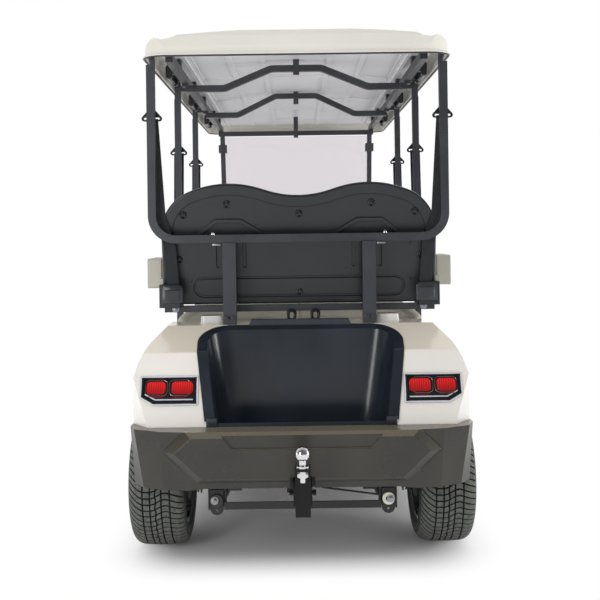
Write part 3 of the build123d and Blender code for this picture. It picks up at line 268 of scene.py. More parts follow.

# vulcanised tyre rubber, dusty from the ground: grey on the blocks, and near black in the grooves, which is bare
# rubber and painted shade in the recesses
tree, inputs, place = newMaterial(
    "tyre_rubber", "dustyTyreRubber", {"IOR": 1.52, "Specular IOR Level": 0.35, "Roughness": 0.78})
dustAndReflection = addNode(tree, "ShaderNodeTexNoise", {"Scale": 1 / (14 * mm), "Detail": 6.0}, {"Vector": place})
share = addNode(
    tree, "ShaderNodeMapRange", {"From Min": 0.3, "From Max": 0.75}, {"Value": dustAndReflection.outputs["Fac"]})
tint = addNode(
    tree, "ShaderNodeMix", {"data_type": "RGBA", colourA: "#4E504C", colourB: "#6E706B"},
    {0: share.outputs["Result"]})
dustAndGrooveShade = addNode(tree, "ShaderNodeVertexColor", {"layer_name": "treadDepth"})
# painted shade in part: the grooves go near black
addNode(
    tree, "ShaderNodeMix", {"data_type": "RGBA", colourA: "#0C0D0D"},
    {0: dustAndGrooveShade.outputs["Color"], colourB: tint.outputs[colourOut]}, inputs["Base Color"])
speck = addNode(tree, "ShaderNodeTexNoise", {"Scale": 1 / (2 * mm), "Detail": 4.0}, {"Vector": place})
addNode(
    tree, "ShaderNodeBump", {"Strength": 0.4, "Distance": 0.5 * mm}, {"Height": speck.outputs["Fac"]},
    inputs["Normal"])

bandsPerScale = 3.18  # bands per metre of a Wave texture whose Scale is 1
# red PMMA lamp lens with flutes 8 mm apart moulded behind its skin: painted shade makes it deep red below and
# bright above, and a small emission paints a faint glow
tree, inputs, place = newMaterial("red_lens", "redLampAcrylic", {
    "Roughness": 0.1, "IOR": 1.49, "Coat Weight": 0.8, "Coat Roughness": 0.03,
    # painted glow: a small red emission
    "Emission Color": "#C80C10", "Emission Strength": 0.05,
})
flutes = addNode(
    tree, "ShaderNodeTexWave",
    {"bands_direction": "X", "Scale": 1 / (8.176 * mm) / bandsPerScale, "Distortion": 0.4}, {"Vector": place})
height = addNode(tree, "ShaderNodeSeparateXYZ", None, {0: place})
share = addNode(
    tree, "ShaderNodeMapRange", {"From Min": 0.643, "From Max": 0.680}, {"Value": height.outputs["Z"]})
tint = addNode(
    tree, "ShaderNodeMix", {"data_type": "RGBA", colourA: "#B0080C", colourB: "#E22222"},
    {0: flutes.outputs["Fac"]})
# painted shade: darker red towards the bottom of each lens
addNode(
    tree, "ShaderNodeMix", {"data_type": "RGBA", colourA: "#8C060A"},
    {0: share.outputs["Result"], colourB: tint.outputs[colourOut]}, inputs["Base Color"])
addNode(
    tree, "ShaderNodeBump", {"Strength": 0.25, "Distance": 1.0 * mm}, {"Height": flutes.outputs["Fac"]},
    inputs["Normal"])

# ribbed EPDM floor mat: dull black, ribs 12 mm apart
tree, inputs, place = newMaterial("floor_mat", "ribbedFloorRubber", {"IOR": 1.5, "Specular IOR Level": 0.3})
cloudy(tree, inputs, place, ("#262626", "#343433"), 0.2, (0.7, 0.85))
ribs = addNode(
    tree, "ShaderNodeTexWave", {"bands_direction": "X", "Scale": 1 / (12 * mm) / bandsPerScale},
    {"Vector": place})
addNode(
    tree, "ShaderNodeBump", {"Strength": 0.6, "Distance": 1.5 * mm}, {"Height": ribs.outputs["Fac"]},
    inputs["Normal"])

# woven polyester belt webbing: herringbone ribs 2.5 mm apart, drawn coarse so that they show
tree, inputs, place = newMaterial(
    "webbing", "beltWebbing", {"IOR": 1.5, "Sheen Weight": 0.3, "Specular IOR Level": 0.3})
cloudy(tree, inputs, place, ("#202125", "#2C2D32"), 0.05, (0.7, 0.85))
weave = addNode(
    tree, "ShaderNodeTexWave",
    {"bands_direction": "Z", "Scale": 1 / (2.5 * mm) / bandsPerScale, "Distortion": 1.5}, {"Vector": place})
addNode(
    tree, "ShaderNodeBump", {"Strength": 0.6, "Distance": 0.6 * mm}, {"Height": weave.outputs["Fac"]},
    inputs["Normal"])

for name, piece in nodes.items():
    piece.data.materials.clear()
    piece.data.materials.append(materials["gloss_steel" if name == "hitch_mount" else slotOf[name]])


def activate(piece):
    bpy.context.view_layer.objects.active = piece


def clearSelection():
    bpy.ops.object.select_all(action="DESELECT")


def selectAll():
    bpy.ops.mesh.select_all(action="SELECT")


def leaveEdit():
    bpy.ops.object.mode_set(mode="OBJECT")


def editMesh(piece):  # into edit mode with nothing selected
    activate(piece)
    bpy.ops.object.mode_set(mode="EDIT")
    bpy.ops.mesh.select_all(action="DESELECT")


def pick(piece, kind, wanted):  # selects the verts, edges or faces that the rule wants, by their place
    mesh = bmesh.from_edit_mesh(piece.data)
    bpy.ops.mesh.select_all(action="DESELECT")
    bpy.context.tool_settings.mesh_select_mode = [kind == name for name in ("verts", "edges", "faces")]
    for part in getattr(mesh, kind):
        part.select_set(bool(wanted(part)))
    mesh.select_flush_mode()
    bmesh.update_edit_mesh(piece.data)


def pickFacing(piece, way):  # the faces that look along an axis
    pick(piece, "faces", lambda face: face.normal.dot(Vector(way)) > 0.9)


def middle(part):  # the middle of an edge or face
    return sum((corner.co for corner in part.verts), Vector()) / len(part.verts)


def extrude(move=(0, 0, 0)):  # the selection, drawn out by this much, m
    bpy.ops.mesh.extrude_region_move(TRANSFORM_OT_translate={"value": move})


def drawProfile(name, points):  # a chain of edges, drawn from one point by extruding
    clearSelection()
    bpy.context.tool_settings.mesh_select_mode = (True, False, False)
    bpy.ops.mesh.primitive_plane_add(size=mm)
    profile = bpy.context.object
    profile.name = name
    bpy.ops.object.mode_set(mode="EDIT")
    bpy.ops.mesh.merge(type="CENTER")
    bpy.ops.transform.translate(value=points[0])
    for start, end in zip(points, points[1:]):
        extrude([b - a for a, b in zip(start, end)])
    return profile


def spinRound(steps, axis):  # the profile in edit mode, once round an axis through the origin
    selectAll()
    bpy.ops.mesh.spin(steps=steps, angle=2 * math.pi, center=(0, 0, 0), axis=axis)


def mergeOutwards(gap=0.01 * mm):  # doubles merged, faces outwards
    selectAll()
    bpy.ops.mesh.remove_doubles(threshold=gap)
    bpy.ops.mesh.normals_make_consistent(inside=False)


def closeMesh():  # the last step in edit mode
    mergeOutwards()
    leaveEdit()


def settle(piece):  # its place, turn and size go into its mesh
    clearSelection()
    piece.select_set(True)
    activate(piece)
    bpy.ops.object.transform_apply(location=True, rotation=True, scale=True)


def block(place, size):  # a cube of this size, in edit mode, as a start
    clearSelection()
    bpy.ops.mesh.primitive_cube_add(size=1, location=place, scale=size)
    piece = bpy.context.object
    settle(piece)
    editMesh(piece)
    return piece


def addModifier(kind, **values):  # one modifier on the active piece, applied
    bpy.ops.object.modifier_add(type=kind)
    modifier = bpy.context.object.modifiers[-1]
    for name, value in values.items():
        setattr(modifier, name, value)
    bpy.ops.object.modifier_apply(modifier=modifier.name)


def dress(piece, finish, body="chassis", angle=35.0):  # smooth shading, material, and the body it rides on
    settle(piece)
    bpy.ops.object.shade_smooth_by_angle(angle=math.radians(angle))
    piece.data.materials.clear()
    piece.data.materials.append(materials[finish])
    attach(piece, body)
    return piece


def copied(piece, name, shift=(0, 0, 0)):  # a copy with its own mesh
    clearSelection()
    double = piece.copy()
    double.data = piece.data.copy()
    double.name = name
    bpy.context.collection.objects.link(double)
    double.location = [a + b for a, b in zip(piece.location, shift)]
    return double


def joined(parts, name):  # several meshes as one
    clearSelection()
    for part in parts:
        part.select_set(True)
    activate(parts[0])
    if len(parts) > 1:
        bpy.ops.object.join()
    piece = bpy.context.view_layer.objects.active
    piece.name = name
    return piece


def discard(*masters):  # what was only there to copy
    for master in masters:
        bpy.data.objects.remove(master, do_unlink=True)


print("tyres")
treadedTyre = {
    "radius": 265.0, "crownHalf": 66.0, "crownDrop": 3.0,
    "grooves": (-49.0, -21.5, -1.0, 21.0, 52.5),  # across, mm
    "cuts": (-36.0, 10.0, 37.0),  # further edges across the blocks
    "grooveWidth": 6.0,
    "pitches": 68,  # cross grooves round the tyre
    "stepsPerPitch": 4,  # one of them is the groove
    "shoulder": 100.0,  # where the cross grooves end
    "innerRadius": 238.0,  # and how low they reach
    "depth": 7.0, "zigzag": 1.2,
    "roundBelow": 200.0, "curveOver": 20.0,  # the beads stay round, and the grooves' curve begins over this
}
# half the section, (across, radius), from the crown to the bead
halfSection = [
    (0.0, 265.0), (66.0, 262.0), (78.0, 258.8), (88.0, 253.6), (95.0, 247.8), (100.0, 241.0),
    (103.6, 234.0), (106.2, 226.0), (107.2, 218.0), (106.2, 217.0), (106.2, 215.4), (107.2, 214.4),
    (106.6, 208.0), (104.4, 201.5), (105.0, 200.0), (104.4, 196.0), (101.5, 192.5), (96.5, 189.5),
    (88.6, 188.0), (88.6, 179.0),
]


def crownRadius(x):  # the tread's own curve between the grooves
    return treadedTyre["radius"] - treadedTyre["crownDrop"] * (abs(x) / treadedTyre["crownHalf"]) ** 2.2


def treadOffset(x):  # how far a cross groove climbs at this place across the tread, mm
    if x <= -49:
        return 42.0 * ((-x - 49.0) / 53.0) ** 1.45
    if x <= -22:
        return 0.0
    if x <= 36:
        return 11.0 * (1 - math.cos(math.pi * (x + 22.0) / 58.0))
    return 22.0 - 24.0 * ((x - 36.0) / 66.0) ** 1.2


halfGroove = treadedTyre["grooveWidth"] / 2
tyreSteps = treadedTyre["stepsPerPitch"] * treadedTyre["pitches"]
across = [x + side * halfGroove for x in treadedTyre["grooves"] for side in (-1, 1)]
across = sorted(across + list(treadedTyre["cuts"]))
section = [(-x, r) for x, r in reversed(halfSection[1:])] + [(x, crownRadius(x)) for x in across]
section += halfSection[1:] + [(-halfSection[-1][0], halfSection[-1][1])]
tyre = drawProfile("treadedTyre", [(x * mm, 0.0, r * mm) for x, r in section])
spinRound(tyreSteps, (1, 0, 0))
mergeOutwards()


def isGroove(face):
    at = middle(face)
    x = at.x / mm
    if abs(x) > treadedTyre["shoulder"] or math.hypot(at.y, at.z) < treadedTyre["innerRadius"] * mm:
        return False
    step = math.floor(math.atan2(at.y, at.z) / (2 * math.pi) * tyreSteps)
    isAcross = step % treadedTyre["stepsPerPitch"] == 0
    return isAcross or any(abs(x - groove) < halfGroove for groove in treadedTyre["grooves"])


pick(tyre, "faces", isGroove)
extrude()
sink = 1 - treadedTyre["depth"] / treadedTyre["radius"]
bpy.ops.transform.resize(value=(1, sink, sink), center_override=(0, 0, 0))
mesh = bmesh.from_edit_mesh(tyre.data)
# the rubber's colour reads this layer: 0 in a groove, where it is painted dark as shade, 1 on a block
depthLayer = mesh.verts.layers.float_color.new("treadDepth")
for corner in mesh.verts:
    level = 0.0 if corner.select else 1.0 if abs(corner.co.x) < (treadedTyre["shoulder"] + 0.5) * mm else 0.3
    corner[depthLayer] = (level, level, level, 1.0)
# the middle groove steps from block to block, and the cross grooves curve
middleGroove = treadedTyre["grooves"][2]
for corner in mesh.verts:
    x = corner.co.x / mm
    radius = math.hypot(corner.co.y, corner.co.z)
    if radius < treadedTyre["roundBelow"] * mm:
        continue
    turn = math.atan2(corner.co.y, corner.co.z)
    if abs(x - middleGroove) < halfGroove + 0.5:
        pitch = math.floor(turn / (2 * math.pi) * treadedTyre["pitches"] + 0.02)
        corner.co.x += treadedTyre["zigzag"] * mm * (1 if pitch % 2 else -1)
    above = (radius / mm - treadedTyre["roundBelow"]) / treadedTyre["curveOver"]
    turn += min(1.0, above) * treadOffset(x) * mm / radius
    corner.co.y = radius * math.sin(turn)
    corner.co.z = radius * math.cos(turn)
bmesh.update_edit_mesh(tyre.data)
closeMesh()
wheelPlaces = {
    joint["name"][5:]: Vector(joint["pos_m"])
    for joint in frame["joints"] if joint["name"].startswith("roll_")}
for corner, place in wheelPlaces.items():
    piece = copied(tyre, "treadedTyre_" + corner, place)
    dress(piece, "tyre_rubber", "wheel_" + corner, angle=28)
    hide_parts("tyre_" + corner)
discard(tyre)


def solidCopy(node, name, wanted):  # a merged copy of those solids of a CAD node that the rule wants
    clearSelection()
    piece = bpy.data.objects.new(name, nodes[node].data.copy())
    bpy.context.collection.objects.link(piece)
    piece.select_set(True)
    editMesh(piece)
    selectAll()
    bpy.ops.mesh.remove_doubles(threshold=0.05 * mm)
    pick(piece, "verts", lambda corner: not wanted(corner.co))
    bpy.ops.mesh.delete(type="VERT")
    leaveEdit()
    return piece


print("cushions")
benchRows = {"rear": 0.0, "middle": 0.8, "front": 1.6}  # how far ahead of the rear bench, m
cushionSettings = {
    "voxel": 0.0105, "shrink": 0.007, "pressure": 4.0, "frames": 20,
    "stiffness": 8.0, "bending": 2.0,
    "backCap": 0.018, "seatCap": 0.022,  # the most that the cloth may swell, m
    "backHeld": -0.038, "seatHeld": 0.782,  # cloth past the first and below the second stays put, m
    "channels": (-0.3, 0.0, 0.3),  # sewn lines, across
    "channelHalf": 0.007, "backSeam": 0.007, "seatSeam": 0.008,  # half width and depths, m
}


def inflated(piece, held, cap):  # cloth under pressure; the vertices that the rule holds stay put
    activate(piece)
    addModifier("REMESH", mode="VOXEL", voxel_size=cushionSettings["voxel"])
    editMesh(piece)
    selectAll()
    bpy.ops.transform.shrink_fatten(value=-cushionSettings["shrink"])
    leaveEdit()
    rest = [corner.co.copy() for corner in piece.data.vertices]
    pinned = piece.vertex_groups.new(name="heldToBase")
    pinned.add([i for i, place in enumerate(rest) if held(place)], 1.0, "REPLACE")
    bpy.ops.object.modifier_add(type="CLOTH")
    cloth = piece.modifiers["Cloth"].settings
    cloth.use_pressure = True
    cloth.uniform_pressure_force = cushionSettings["pressure"]
    cloth.effector_weights.gravity = 0.0
    cloth.vertex_group_mass = "heldToBase"
    cloth.tension_stiffness = cushionSettings["stiffness"]
    cloth.compression_stiffness = cushionSettings["stiffness"]
    cloth.bending_stiffness = cushionSettings["bending"]
    for step in range(1, cushionSettings["frames"] + 1):
        scene.frame_set(step)
    bpy.ops.object.modifier_apply(modifier="Cloth")
    scene.frame_set(1)
    for corner, before in zip(piece.data.vertices, rest):
        move = corner.co - before
        if move.length > cap:
            corner.co = before + move * (cap / move.length)


def sewn(piece, depth, upper):  # channels pressed in along their lines, on the faces that the rule wants
    width = cushionSettings["channelHalf"]
    editMesh(piece)
    for line in cushionSettings["channels"]:
        for beside in (-width, 0.0, width):
            selectAll()
            bpy.ops.mesh.bisect(plane_co=(line + beside, 0, 0), plane_no=(1, 0, 0))
    for line in cushionSettings["channels"]:
        pick(piece, "verts", lambda corner: abs(corner.co.x - line) < 0.1 * mm and upper(corner.normal))
        bpy.ops.transform.shrink_fatten(value=-depth)
    leaveEdit()


backFoot = Vector((0.0, -1.325, 0.937))  # the foot of the rear bench's shell, on its back
lean = math.radians(11.0)
shellNormal = Vector((0, -math.cos(lean), -math.sin(lean)))  # out of the leaning shell's back
upLean = Vector((0, -math.sin(lean), math.cos(lean)))
backPad = solidCopy("seat_backs", "backPad", lambda place: place.y < -0.9)
inflated(
    backPad, lambda place: (place - backFoot).dot(shellNormal) > cushionSettings["backHeld"],
    cushionSettings["backCap"])
sewn(backPad, cushionSettings["backSeam"], lambda normal: normal.dot(shellNormal) < -0.4)
addModifier("SUBSURF", levels=1, render_levels=1)
seatPad = solidCopy("seat_cushions", "seatPad", lambda place: place.y < -0.7)
inflated(seatPad, lambda place: place.z < cushionSettings["seatHeld"], cushionSettings["seatCap"])
sewn(seatPad, cushionSettings["seatSeam"], lambda normal: normal.z > 0.4)
addModifier("SUBSURF", levels=1, render_levels=1)
for pad, node in ((backPad, "seat_backs"), (seatPad, "seat_cushions")):
    for row, ahead in benchRows.items():
        piece = copied(pad, pad.name + "_" + row, (0, ahead, 0))
        dress(piece, "upholstery", angle=60)
        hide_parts(node)
    discard(pad)


def turned(name, points, steps=24):  # a profile of (radius, height) in mm spun round z
    drawProfile(name, [(radius * mm, 0.0, height * mm) for radius, height in points])
    spinRound(steps, (0, 0, 1))
    closeMesh()
    return bpy.context.object


def spreadOut(master, name, spots, finish, body="chassis"):  # copies of one fitting, joined as one piece
    copies = []
    for number, (place, direction) in enumerate(spots):  # a place in mm, and where its z axis points
        part = copied(master, "%s_%d" % (name, number))
        part.rotation_mode = "QUATERNION"
        part.rotation_quaternion = Vector(direction).to_track_quat("Z", "Y")
        part.location = Vector(place) * mm
        settle(part)
        copies.append(part)
    return dress(joined(copies, name), finish, body)


def landed(node, start, direction):  # where a line meets a node, mm, and which way it faces there
    hit, place, normal, _ = nodes[node].ray_cast(Vector(start) * mm, Vector(direction))
    return (place / mm, normal) if hit else (None, None)


def laidFromBehind(node, outline, lift):  # an outline of (across, up) laid on a node from behind, mm
    points = []
    for x, z in outline:
        place, facing = landed(node, (x, -3000, z), (0, 1, 0))
        if place is not None:
            points.append((place.x, place.y - lift, place.z))
    return points


def beading(name, points, radius, closed=True):  # a round bead drawn along points in mm
    drawProfile(name, [[value * mm for value in point] for point in points + points[:1] * closed])
    selectAll()
    bpy.ops.mesh.remove_doubles(threshold=0.01 * mm)
    leaveEdit()
    bpy.ops.object.convert(target="CURVE")
    path = bpy.context.object.data
    path.bevel_depth = radius * mm
    path.bevel_resolution = 2
    path.use_fill_caps = True
    bpy.ops.object.convert(target="MESH")
    editMesh(bpy.context.object)
    closeMesh()
    return bpy.context.object


print("fasteners")
shellFittings = {
    # (across, up the lean), mm
    "clips": [(-288, 414), (292, 414), (2, 372), (-464, 372), (469, 376), (-485, 190), (491, 196), (2, 50)],
    "studs": [(-440, 100), (452, 100), (452, 246)],
    # notches in a clip's collar: every so many degrees, this wide, between two radii and this deep
    "notchEvery": 120, "notchWide": 40, "notchRing": (9.5, 13.2), "notchDeep": 1.8,
}
clip = turned("cushionClip", [
    (0, 0), (15, 0), (14.2, 2.6), (11.5, 3.6), (9.4, 2.0), (6.8, 2.0), (5.6, 4.6), (2.0, 5.0), (0, 4.4),
])


def isNotch(face):
    at, (inner, outer) = middle(face), shellFittings["notchRing"]
    turn = math.degrees(math.atan2(at.y, at.x)) % shellFittings["notchEvery"]
    isCollar = inner * mm < math.hypot(at.x, at.y) < outer * mm and face.normal.z > 0.3
    return isCollar and turn < shellFittings["notchWide"]


editMesh(clip)
pick(clip, "faces", isNotch)
bpy.ops.transform.translate(value=(0, 0, -shellFittings["notchDeep"] * mm))
leaveEdit()
stud = turned("shellStud", [(0, 0), (5.4, 0), (5.0, 2.2), (3.0, 3.0), (0, 3.2)], 12)
for master, name, places in ((clip, "cushionClips", "clips"), (stud, "shellStuds", "studs")):
    spots = []
    for ahead in benchRows.values():
        for across, up in shellFittings[places]:
            place = backFoot + Vector((across * mm, ahead, 0)) + upLean * up * mm
            spots.append((place / mm, shellNormal))
    spreadOut(master, name, spots, "lamp_plastic")
    discard(master)

hexBolt = {
    "size": 15.0, "height": 8.0, "washer": 1.4,
    # shares of the size: the head's radius, its chamfer, and the recess in its top
    "head": 0.58, "chamfer": (0.09, 0.05), "recess": (0.2, 0.03, 0.1),
}
size = hexBolt["size"] * mm
rim, thick = hexBolt["size"] * 0.95, hexBolt["washer"]
washer = turned("hexBoltWasher", [(0, 0), (rim, 0), (rim, thick), (0, thick)], 16)
clearSelection()
bpy.ops.mesh.primitive_cylinder_add(
    vertices=6, radius=size * hexBolt["head"], depth=hexBolt["height"] * mm,
    location=(0, 0, (thick + hexBolt["height"] / 2) * mm))
head = bpy.context.object
editMesh(head)
pickFacing(head, (0, 0, 1))
(across, down), (land, wall, deep) = hexBolt["chamfer"], hexBolt["recess"]
bpy.ops.mesh.inset(thickness=size * across, depth=size * down)
bpy.ops.mesh.inset(thickness=size * land)
bpy.ops.mesh.inset(thickness=size * wall, depth=-size * deep)
closeMesh()
bolt = joined([washer, head], "hexBolt")
rearWard, upWard = (0, -1, 0), (0, 0, 1)
spots = [((x, -1451, 893), rearWard) for x in (-289, -265, 265, 291)]
spots += [((x, y - 14.5, 1894), rearWard) for x in (-478, 478) for y in (-849, 121)]
spots += [((side * 593, y, z), (side, 0, 0)) for side in (-1, 1) for y in (-609, 178) for z in (402, 440)]
spreadOut(bolt, "darkFrameBolts", spots, "tube_paint")
spots = [((x, y - 16, 921), rearWard) for x in (-505, 505) for y in (-1325, -525, 275)]
spots += [((side * 614, 1352, 560), (side, 0, 0)) for side in (-1, 1)]
spots += [((side * 318, -1772, 264), rearWard) for side in (-1, 1)]
spreadOut(bolt, "platedBolts", spots, "steel")
discard(bolt)

# dome nuts on top of the hoop's cross bar
nut = turned("domeNut", [(0, 0), (11, 0), (11, 1.6), (8, 1.8), (8, 6), (6.8, 9.5), (4, 11.6), (0, 12.4)], 16)
spreadOut(nut, "domeNuts", [((x, -1425, 1222), upWard) for x in (-343, 343)], "chrome")
discard(nut)

# belt loops that hang under the rear bench's foot rail
beltLoop = {
    "across": (-33, 63), "ring": 15, "cord": 7, "level": 896, "behind": -1352,
    "drop": 9, "stretch": (0.9, 1.5, 1.0), "stretchedFrom": (-1350, 888),
}
loops = []
for x in beltLoop["across"]:
    clearSelection()
    bpy.ops.mesh.primitive_torus_add(
        major_radius=beltLoop["ring"] * mm, minor_radius=beltLoop["cord"] * mm,
        major_segments=28, minor_segments=10, rotation=(math.pi / 2, 0, 0),
        location=(x * mm, beltLoop["behind"] * mm, beltLoop["level"] * mm))
    loop = bpy.context.object
    settle(loop)
    editMesh(loop)
    pick(loop, "verts", lambda corner: corner.co.z < (beltLoop["level"] + 0.5) * mm)
    bpy.ops.transform.translate(value=(0, 0, -beltLoop["drop"] * mm))
    still = Vector((x, *beltLoop["stretchedFrom"])) * mm
    bpy.ops.transform.resize(value=beltLoop["stretch"], center_override=still)
    leaveEdit()
    loops.append(loop)
dress(joined(loops, "beltLoops"), "lamp_plastic", angle=60)

print("roof trim")
roofTrim = {
    "rise": 6.0, "wall": 7.0, "foot": 1921.5, "corner": 96.0,
    "halfWidth": 612.0, "rear": -1497.0, "front": 1407.0,
}
clearSelection()
bpy.ops.mesh.primitive_plane_add(
    size=1, location=(0, (roofTrim["rear"] + roofTrim["front"]) / 2 * mm, roofTrim["foot"] * mm))
trim = bpy.context.object
trim.name = "roofEdgeTrim"
trim.scale = (2 * roofTrim["halfWidth"] * mm, (roofTrim["front"] - roofTrim["rear"]) * mm, 1)
settle(trim)
editMesh(trim)
selectAll()
bpy.ops.mesh.bevel(offset=roofTrim["corner"] * mm, segments=12, affect="VERTICES")
selectAll()
bpy.ops.mesh.delete(type="ONLY_FACE")
selectAll()
extrude((0, 0, roofTrim["rise"] * mm))
selectAll()
bpy.ops.mesh.normals_make_consistent(inside=False)
leaveEdit()
addModifier("SOLIDIFY", thickness=roofTrim["wall"] * mm, offset=-1)
addModifier("BEVEL", width=1.5 * mm, segments=2)
dress(trim, "tube_paint")

print("lamps")
# silvered frames round the housings; the outline is drawn in a little from the housing's edge
lampFrame = {
    "outline": [(588, 705), (378, 705), (376, 607), (540, 607), (588, 633)],
    "middle": (482, 656), "drawIn": (0.985, 0.97), "pointEvery": 24, "radius": 3.6,
}
corners = lampFrame["outline"]
(middleX, middleZ), (inX, inZ) = lampFrame["middle"], lampFrame["drawIn"]
lampFrames = []
for side in (-1, 1):
    route = []
    for (x0, z0), (x1, z1) in zip(corners, corners[1:] + corners[:1]):
        runs = max(2, int(math.hypot(x1 - x0, z1 - z0) / lampFrame["pointEvery"]))
        for step in range(runs):
            x, z = x0 + (x1 - x0) * step / runs, z0 + (z1 - z0) * step / runs
            route.append((side * (middleX + (x - middleX) * inX), middleZ + (z - middleZ) * inZ))
    points = laidFromBehind("tail_lamp_housings", route, 0.5)
    lampFrames.append(beading("lampFrame", points, lampFrame["radius"]))
dress(joined(lampFrames, "lampFrames"), "silvered", angle=60)

print("belt reels and brackets")
reelCover = {
    "width": 84.0, "height": 72.0, "depth": 12.0, "corner": 16.0,
    "panel": (58.0, 6.0, 40.0), "panelPlace": (0.0, -9.0, -3.0),  # the raised panel on the cover
    "across": 509.0, "behind": -1408.0, "level": 986.0,
}
cover = block((0, 0, 0), (reelCover["width"] * mm, reelCover["depth"] * mm, reelCover["height"] * mm))
pick(cover, "edges", lambda edge: abs(middle(edge).y) < 0.1 * mm and middle(edge).z > 0)
bpy.ops.mesh.bevel(offset=reelCover["corner"] * mm, segments=5)
pickFacing(cover, (0, -1, 0))
bpy.ops.mesh.inset(thickness=3 * mm, depth=1.5 * mm)
closeMesh()
panel = block(Vector(reelCover["panelPlace"]) * mm, Vector(reelCover["panel"]) * mm)
pickFacing(panel, (0, -1, 0))
bpy.ops.mesh.inset(thickness=2 * mm, depth=1.5 * mm)
pickFacing(panel, (0, 0, -1))
bpy.ops.mesh.inset(thickness=1.2 * mm, depth=-3 * mm)
closeMesh()
cover = joined([cover, panel], "reelCoverMaster")
covers = []
for ahead in benchRows.values():
    for side in (-1, 1):
        place = (side * reelCover["across"] * mm, reelCover["behind"] * mm + ahead, reelCover["level"] * mm)
        covers.append(copied(cover, "reelCover", place))
discard(cover)
for part in covers:
    settle(part)
dress(joined(covers, "beltReelCovers"), "reel_plastic")

# pale cable ducts along the roof rails
cableDuct = {"across": 462, "level": 1958, "rear": -1370, "front": 1170, "pointEvery": 254, "radius": 5.0}
ducts = []
for side in (-1, 1):
    route = range(cableDuct["rear"], cableDuct["front"] + 1, cableDuct["pointEvery"])
    points = [(side * cableDuct["across"], y, cableDuct["level"]) for y in route]
    ducts.append(beading("cableDuct", points, cableDuct["radius"], False))
dress(joined(ducts, "roofCableDucts"), "liner", angle=60)

# plated clips under the hoop's cross bar
hoopClip = {"place": (0.326, -1.430, 1.183), "size": (0.034, 0.030, 0.008), "tongue": 0.006}
clip = block(hoopClip["place"], hoopClip["size"])
pickFacing(clip, (0, 1, 0))
extrude((0, hoopClip["tongue"], 0))
selectAll()
bpy.ops.mesh.bevel(offset=1.5 * mm, segments=2)
closeMesh()
second = copied(clip, "clipLeft", (-2 * hoopClip["place"][0], 0, 0))
dress(joined([clip, second], "hoopBarClips"), "steel")

# brake fittings that hang from the axle beside the wheels
fitting = turned("brakeFitting", [
    (0, 0), (9, 0), (9, 6), (6.5, 7), (6.5, 20), (8, 21), (8, 30), (4, 32), (4, 43), (0, 45)], 16)
hang = (0, -0.3, -1)
spots = [
    (point, hang) for side in (-1, 1)
    for point in laidFromBehind("rear_axle", [(side * 400, 240), (side * 412, 244)], 0.0)]
spreadOut(fitting, "brakeFittings", spots, "steel")
discard(fitting)

# the tub's rim runs down to the bumper at each side
rimFoot = {"place": (0.3235, -1.777, 0.530), "size": (0.039, 0.030, 0.054), "top": 0.008}
foot = block(rimFoot["place"], rimFoot["size"])
pickFacing(foot, (0, 0, 1))
extrude((0, 0, rimFoot["top"]))
pick(foot, "edges", lambda edge: abs(edge.verts[0].co.z - edge.verts[1].co.z) > 5 * mm)
bpy.ops.mesh.bevel(offset=3 * mm, segments=3)
closeMesh()
second = copied(foot, "rimFootLeft", (-2 * rimFoot["place"][0], 0, 0))
dress(joined([foot, second], "tubRimFeet"), "well_plastic")

print("tail lamp details")
lampDetails = {
    "lenses": [(409.5, 478.0), (495.0, 566.0)],  # each lens, from and to across, mm
    "levels": (643.0, 686.0), "ringGap": 5.0, "ringCorner": 16.0, "ringRadius": 2.0,
    "glowEnds": (8, 14), "glowLevels": (636, 633, 632), "glowRadius": 3.4,  # red bar below each lens
    "strip": [(395, 624), (440, 624), (490, 624), (533, 624), (553, 634), (571, 643)], "stripRadius": 2.8,
}


def roundedRing(x0, x1, z0, z1, corner, steps=5):  # the outline of a rounded rectangle, (across, up)
    centres = ((x1 - corner, z1 - corner), (x0 + corner, z1 - corner),
               (x0 + corner, z0 + corner), (x1 - corner, z0 + corner))
    spots = []
    for number, (x, z) in enumerate(centres):
        for step in range(steps + 1):
            turn = math.pi / 2 * (number + step / steps)
            spots.append((x + corner * math.cos(turn), z + corner * math.sin(turn)))
    return spots


def onLamp(side, outline, lift):  # an outline of the right lamp, laid on the lamp of this side
    return laidFromBehind("tail_lamp_housings", [(side * x, z) for x, z in outline], lift)


gap, (low, high) = lampDetails["ringGap"], lampDetails["levels"]
(end, bend), (top, knee, sag) = lampDetails["glowEnds"], lampDetails["glowLevels"]
rings, reflectors, strips = [], [], []
for side in (-1, 1):
    for x0, x1 in lampDetails["lenses"]:
        ring = roundedRing(x0 - gap, x1 + gap, low - gap, high + gap, lampDetails["ringCorner"])
        rings.append(beading("lensRing", onLamp(side, ring, 0.5), lampDetails["ringRadius"]))
        bar = [(x0 + end, top), (x0 + bend, knee), ((x0 + x1) / 2, sag), (x1 - bend, knee), (x1 - end, top)]
        reflectors.append(beading("lampGlow", onLamp(side, bar, 0.2), lampDetails["glowRadius"], False))
    strip = onLamp(side, lampDetails["strip"], 0.8)
    strips.append(beading("lampStrip", strip, lampDetails["stripRadius"], False))
dress(joined(rings, "lensRings"), "dark_chrome", angle=60)
dress(joined(reflectors, "lowerReflectors"), "dim_red", angle=60)
dress(joined(strips, "lampStrips"), "silvered", angle=60)

print("wheels")
wheelFittings = {
    "capAt": 60,  # where the hub's face is found, off its middle, mm
    "boltCircle": 50.8, "lugs": 4, "spokeReach": 480,  # a nut sits on a face that is further out than this
    "valveCircle": 146, "valveReach": (500, 600), "searchEvery": 5,  # degrees
    "sunk": 1.0,  # how deep each fitting stands in the rim
}
hubCap = turned("hubCap", [(0, 0), (37, 0), (37, 6), (35, 10), (29, 13), (16, 15), (14, 14), (0, 14.6)], 36)
lugNut = turned("lugNut", [(0, 0), (11.5, 0), (11.5, 2.5), (8.6, 4), (8.6, 16), (6.8, 19), (0, 19.6)], 6)
valve = turned("valveStem", [
    (0, 0), (6, 0), (5, 5), (3.6, 7), (3.6, 24), (4.4, 24.5), (4.4, 31), (0, 32)], 14)


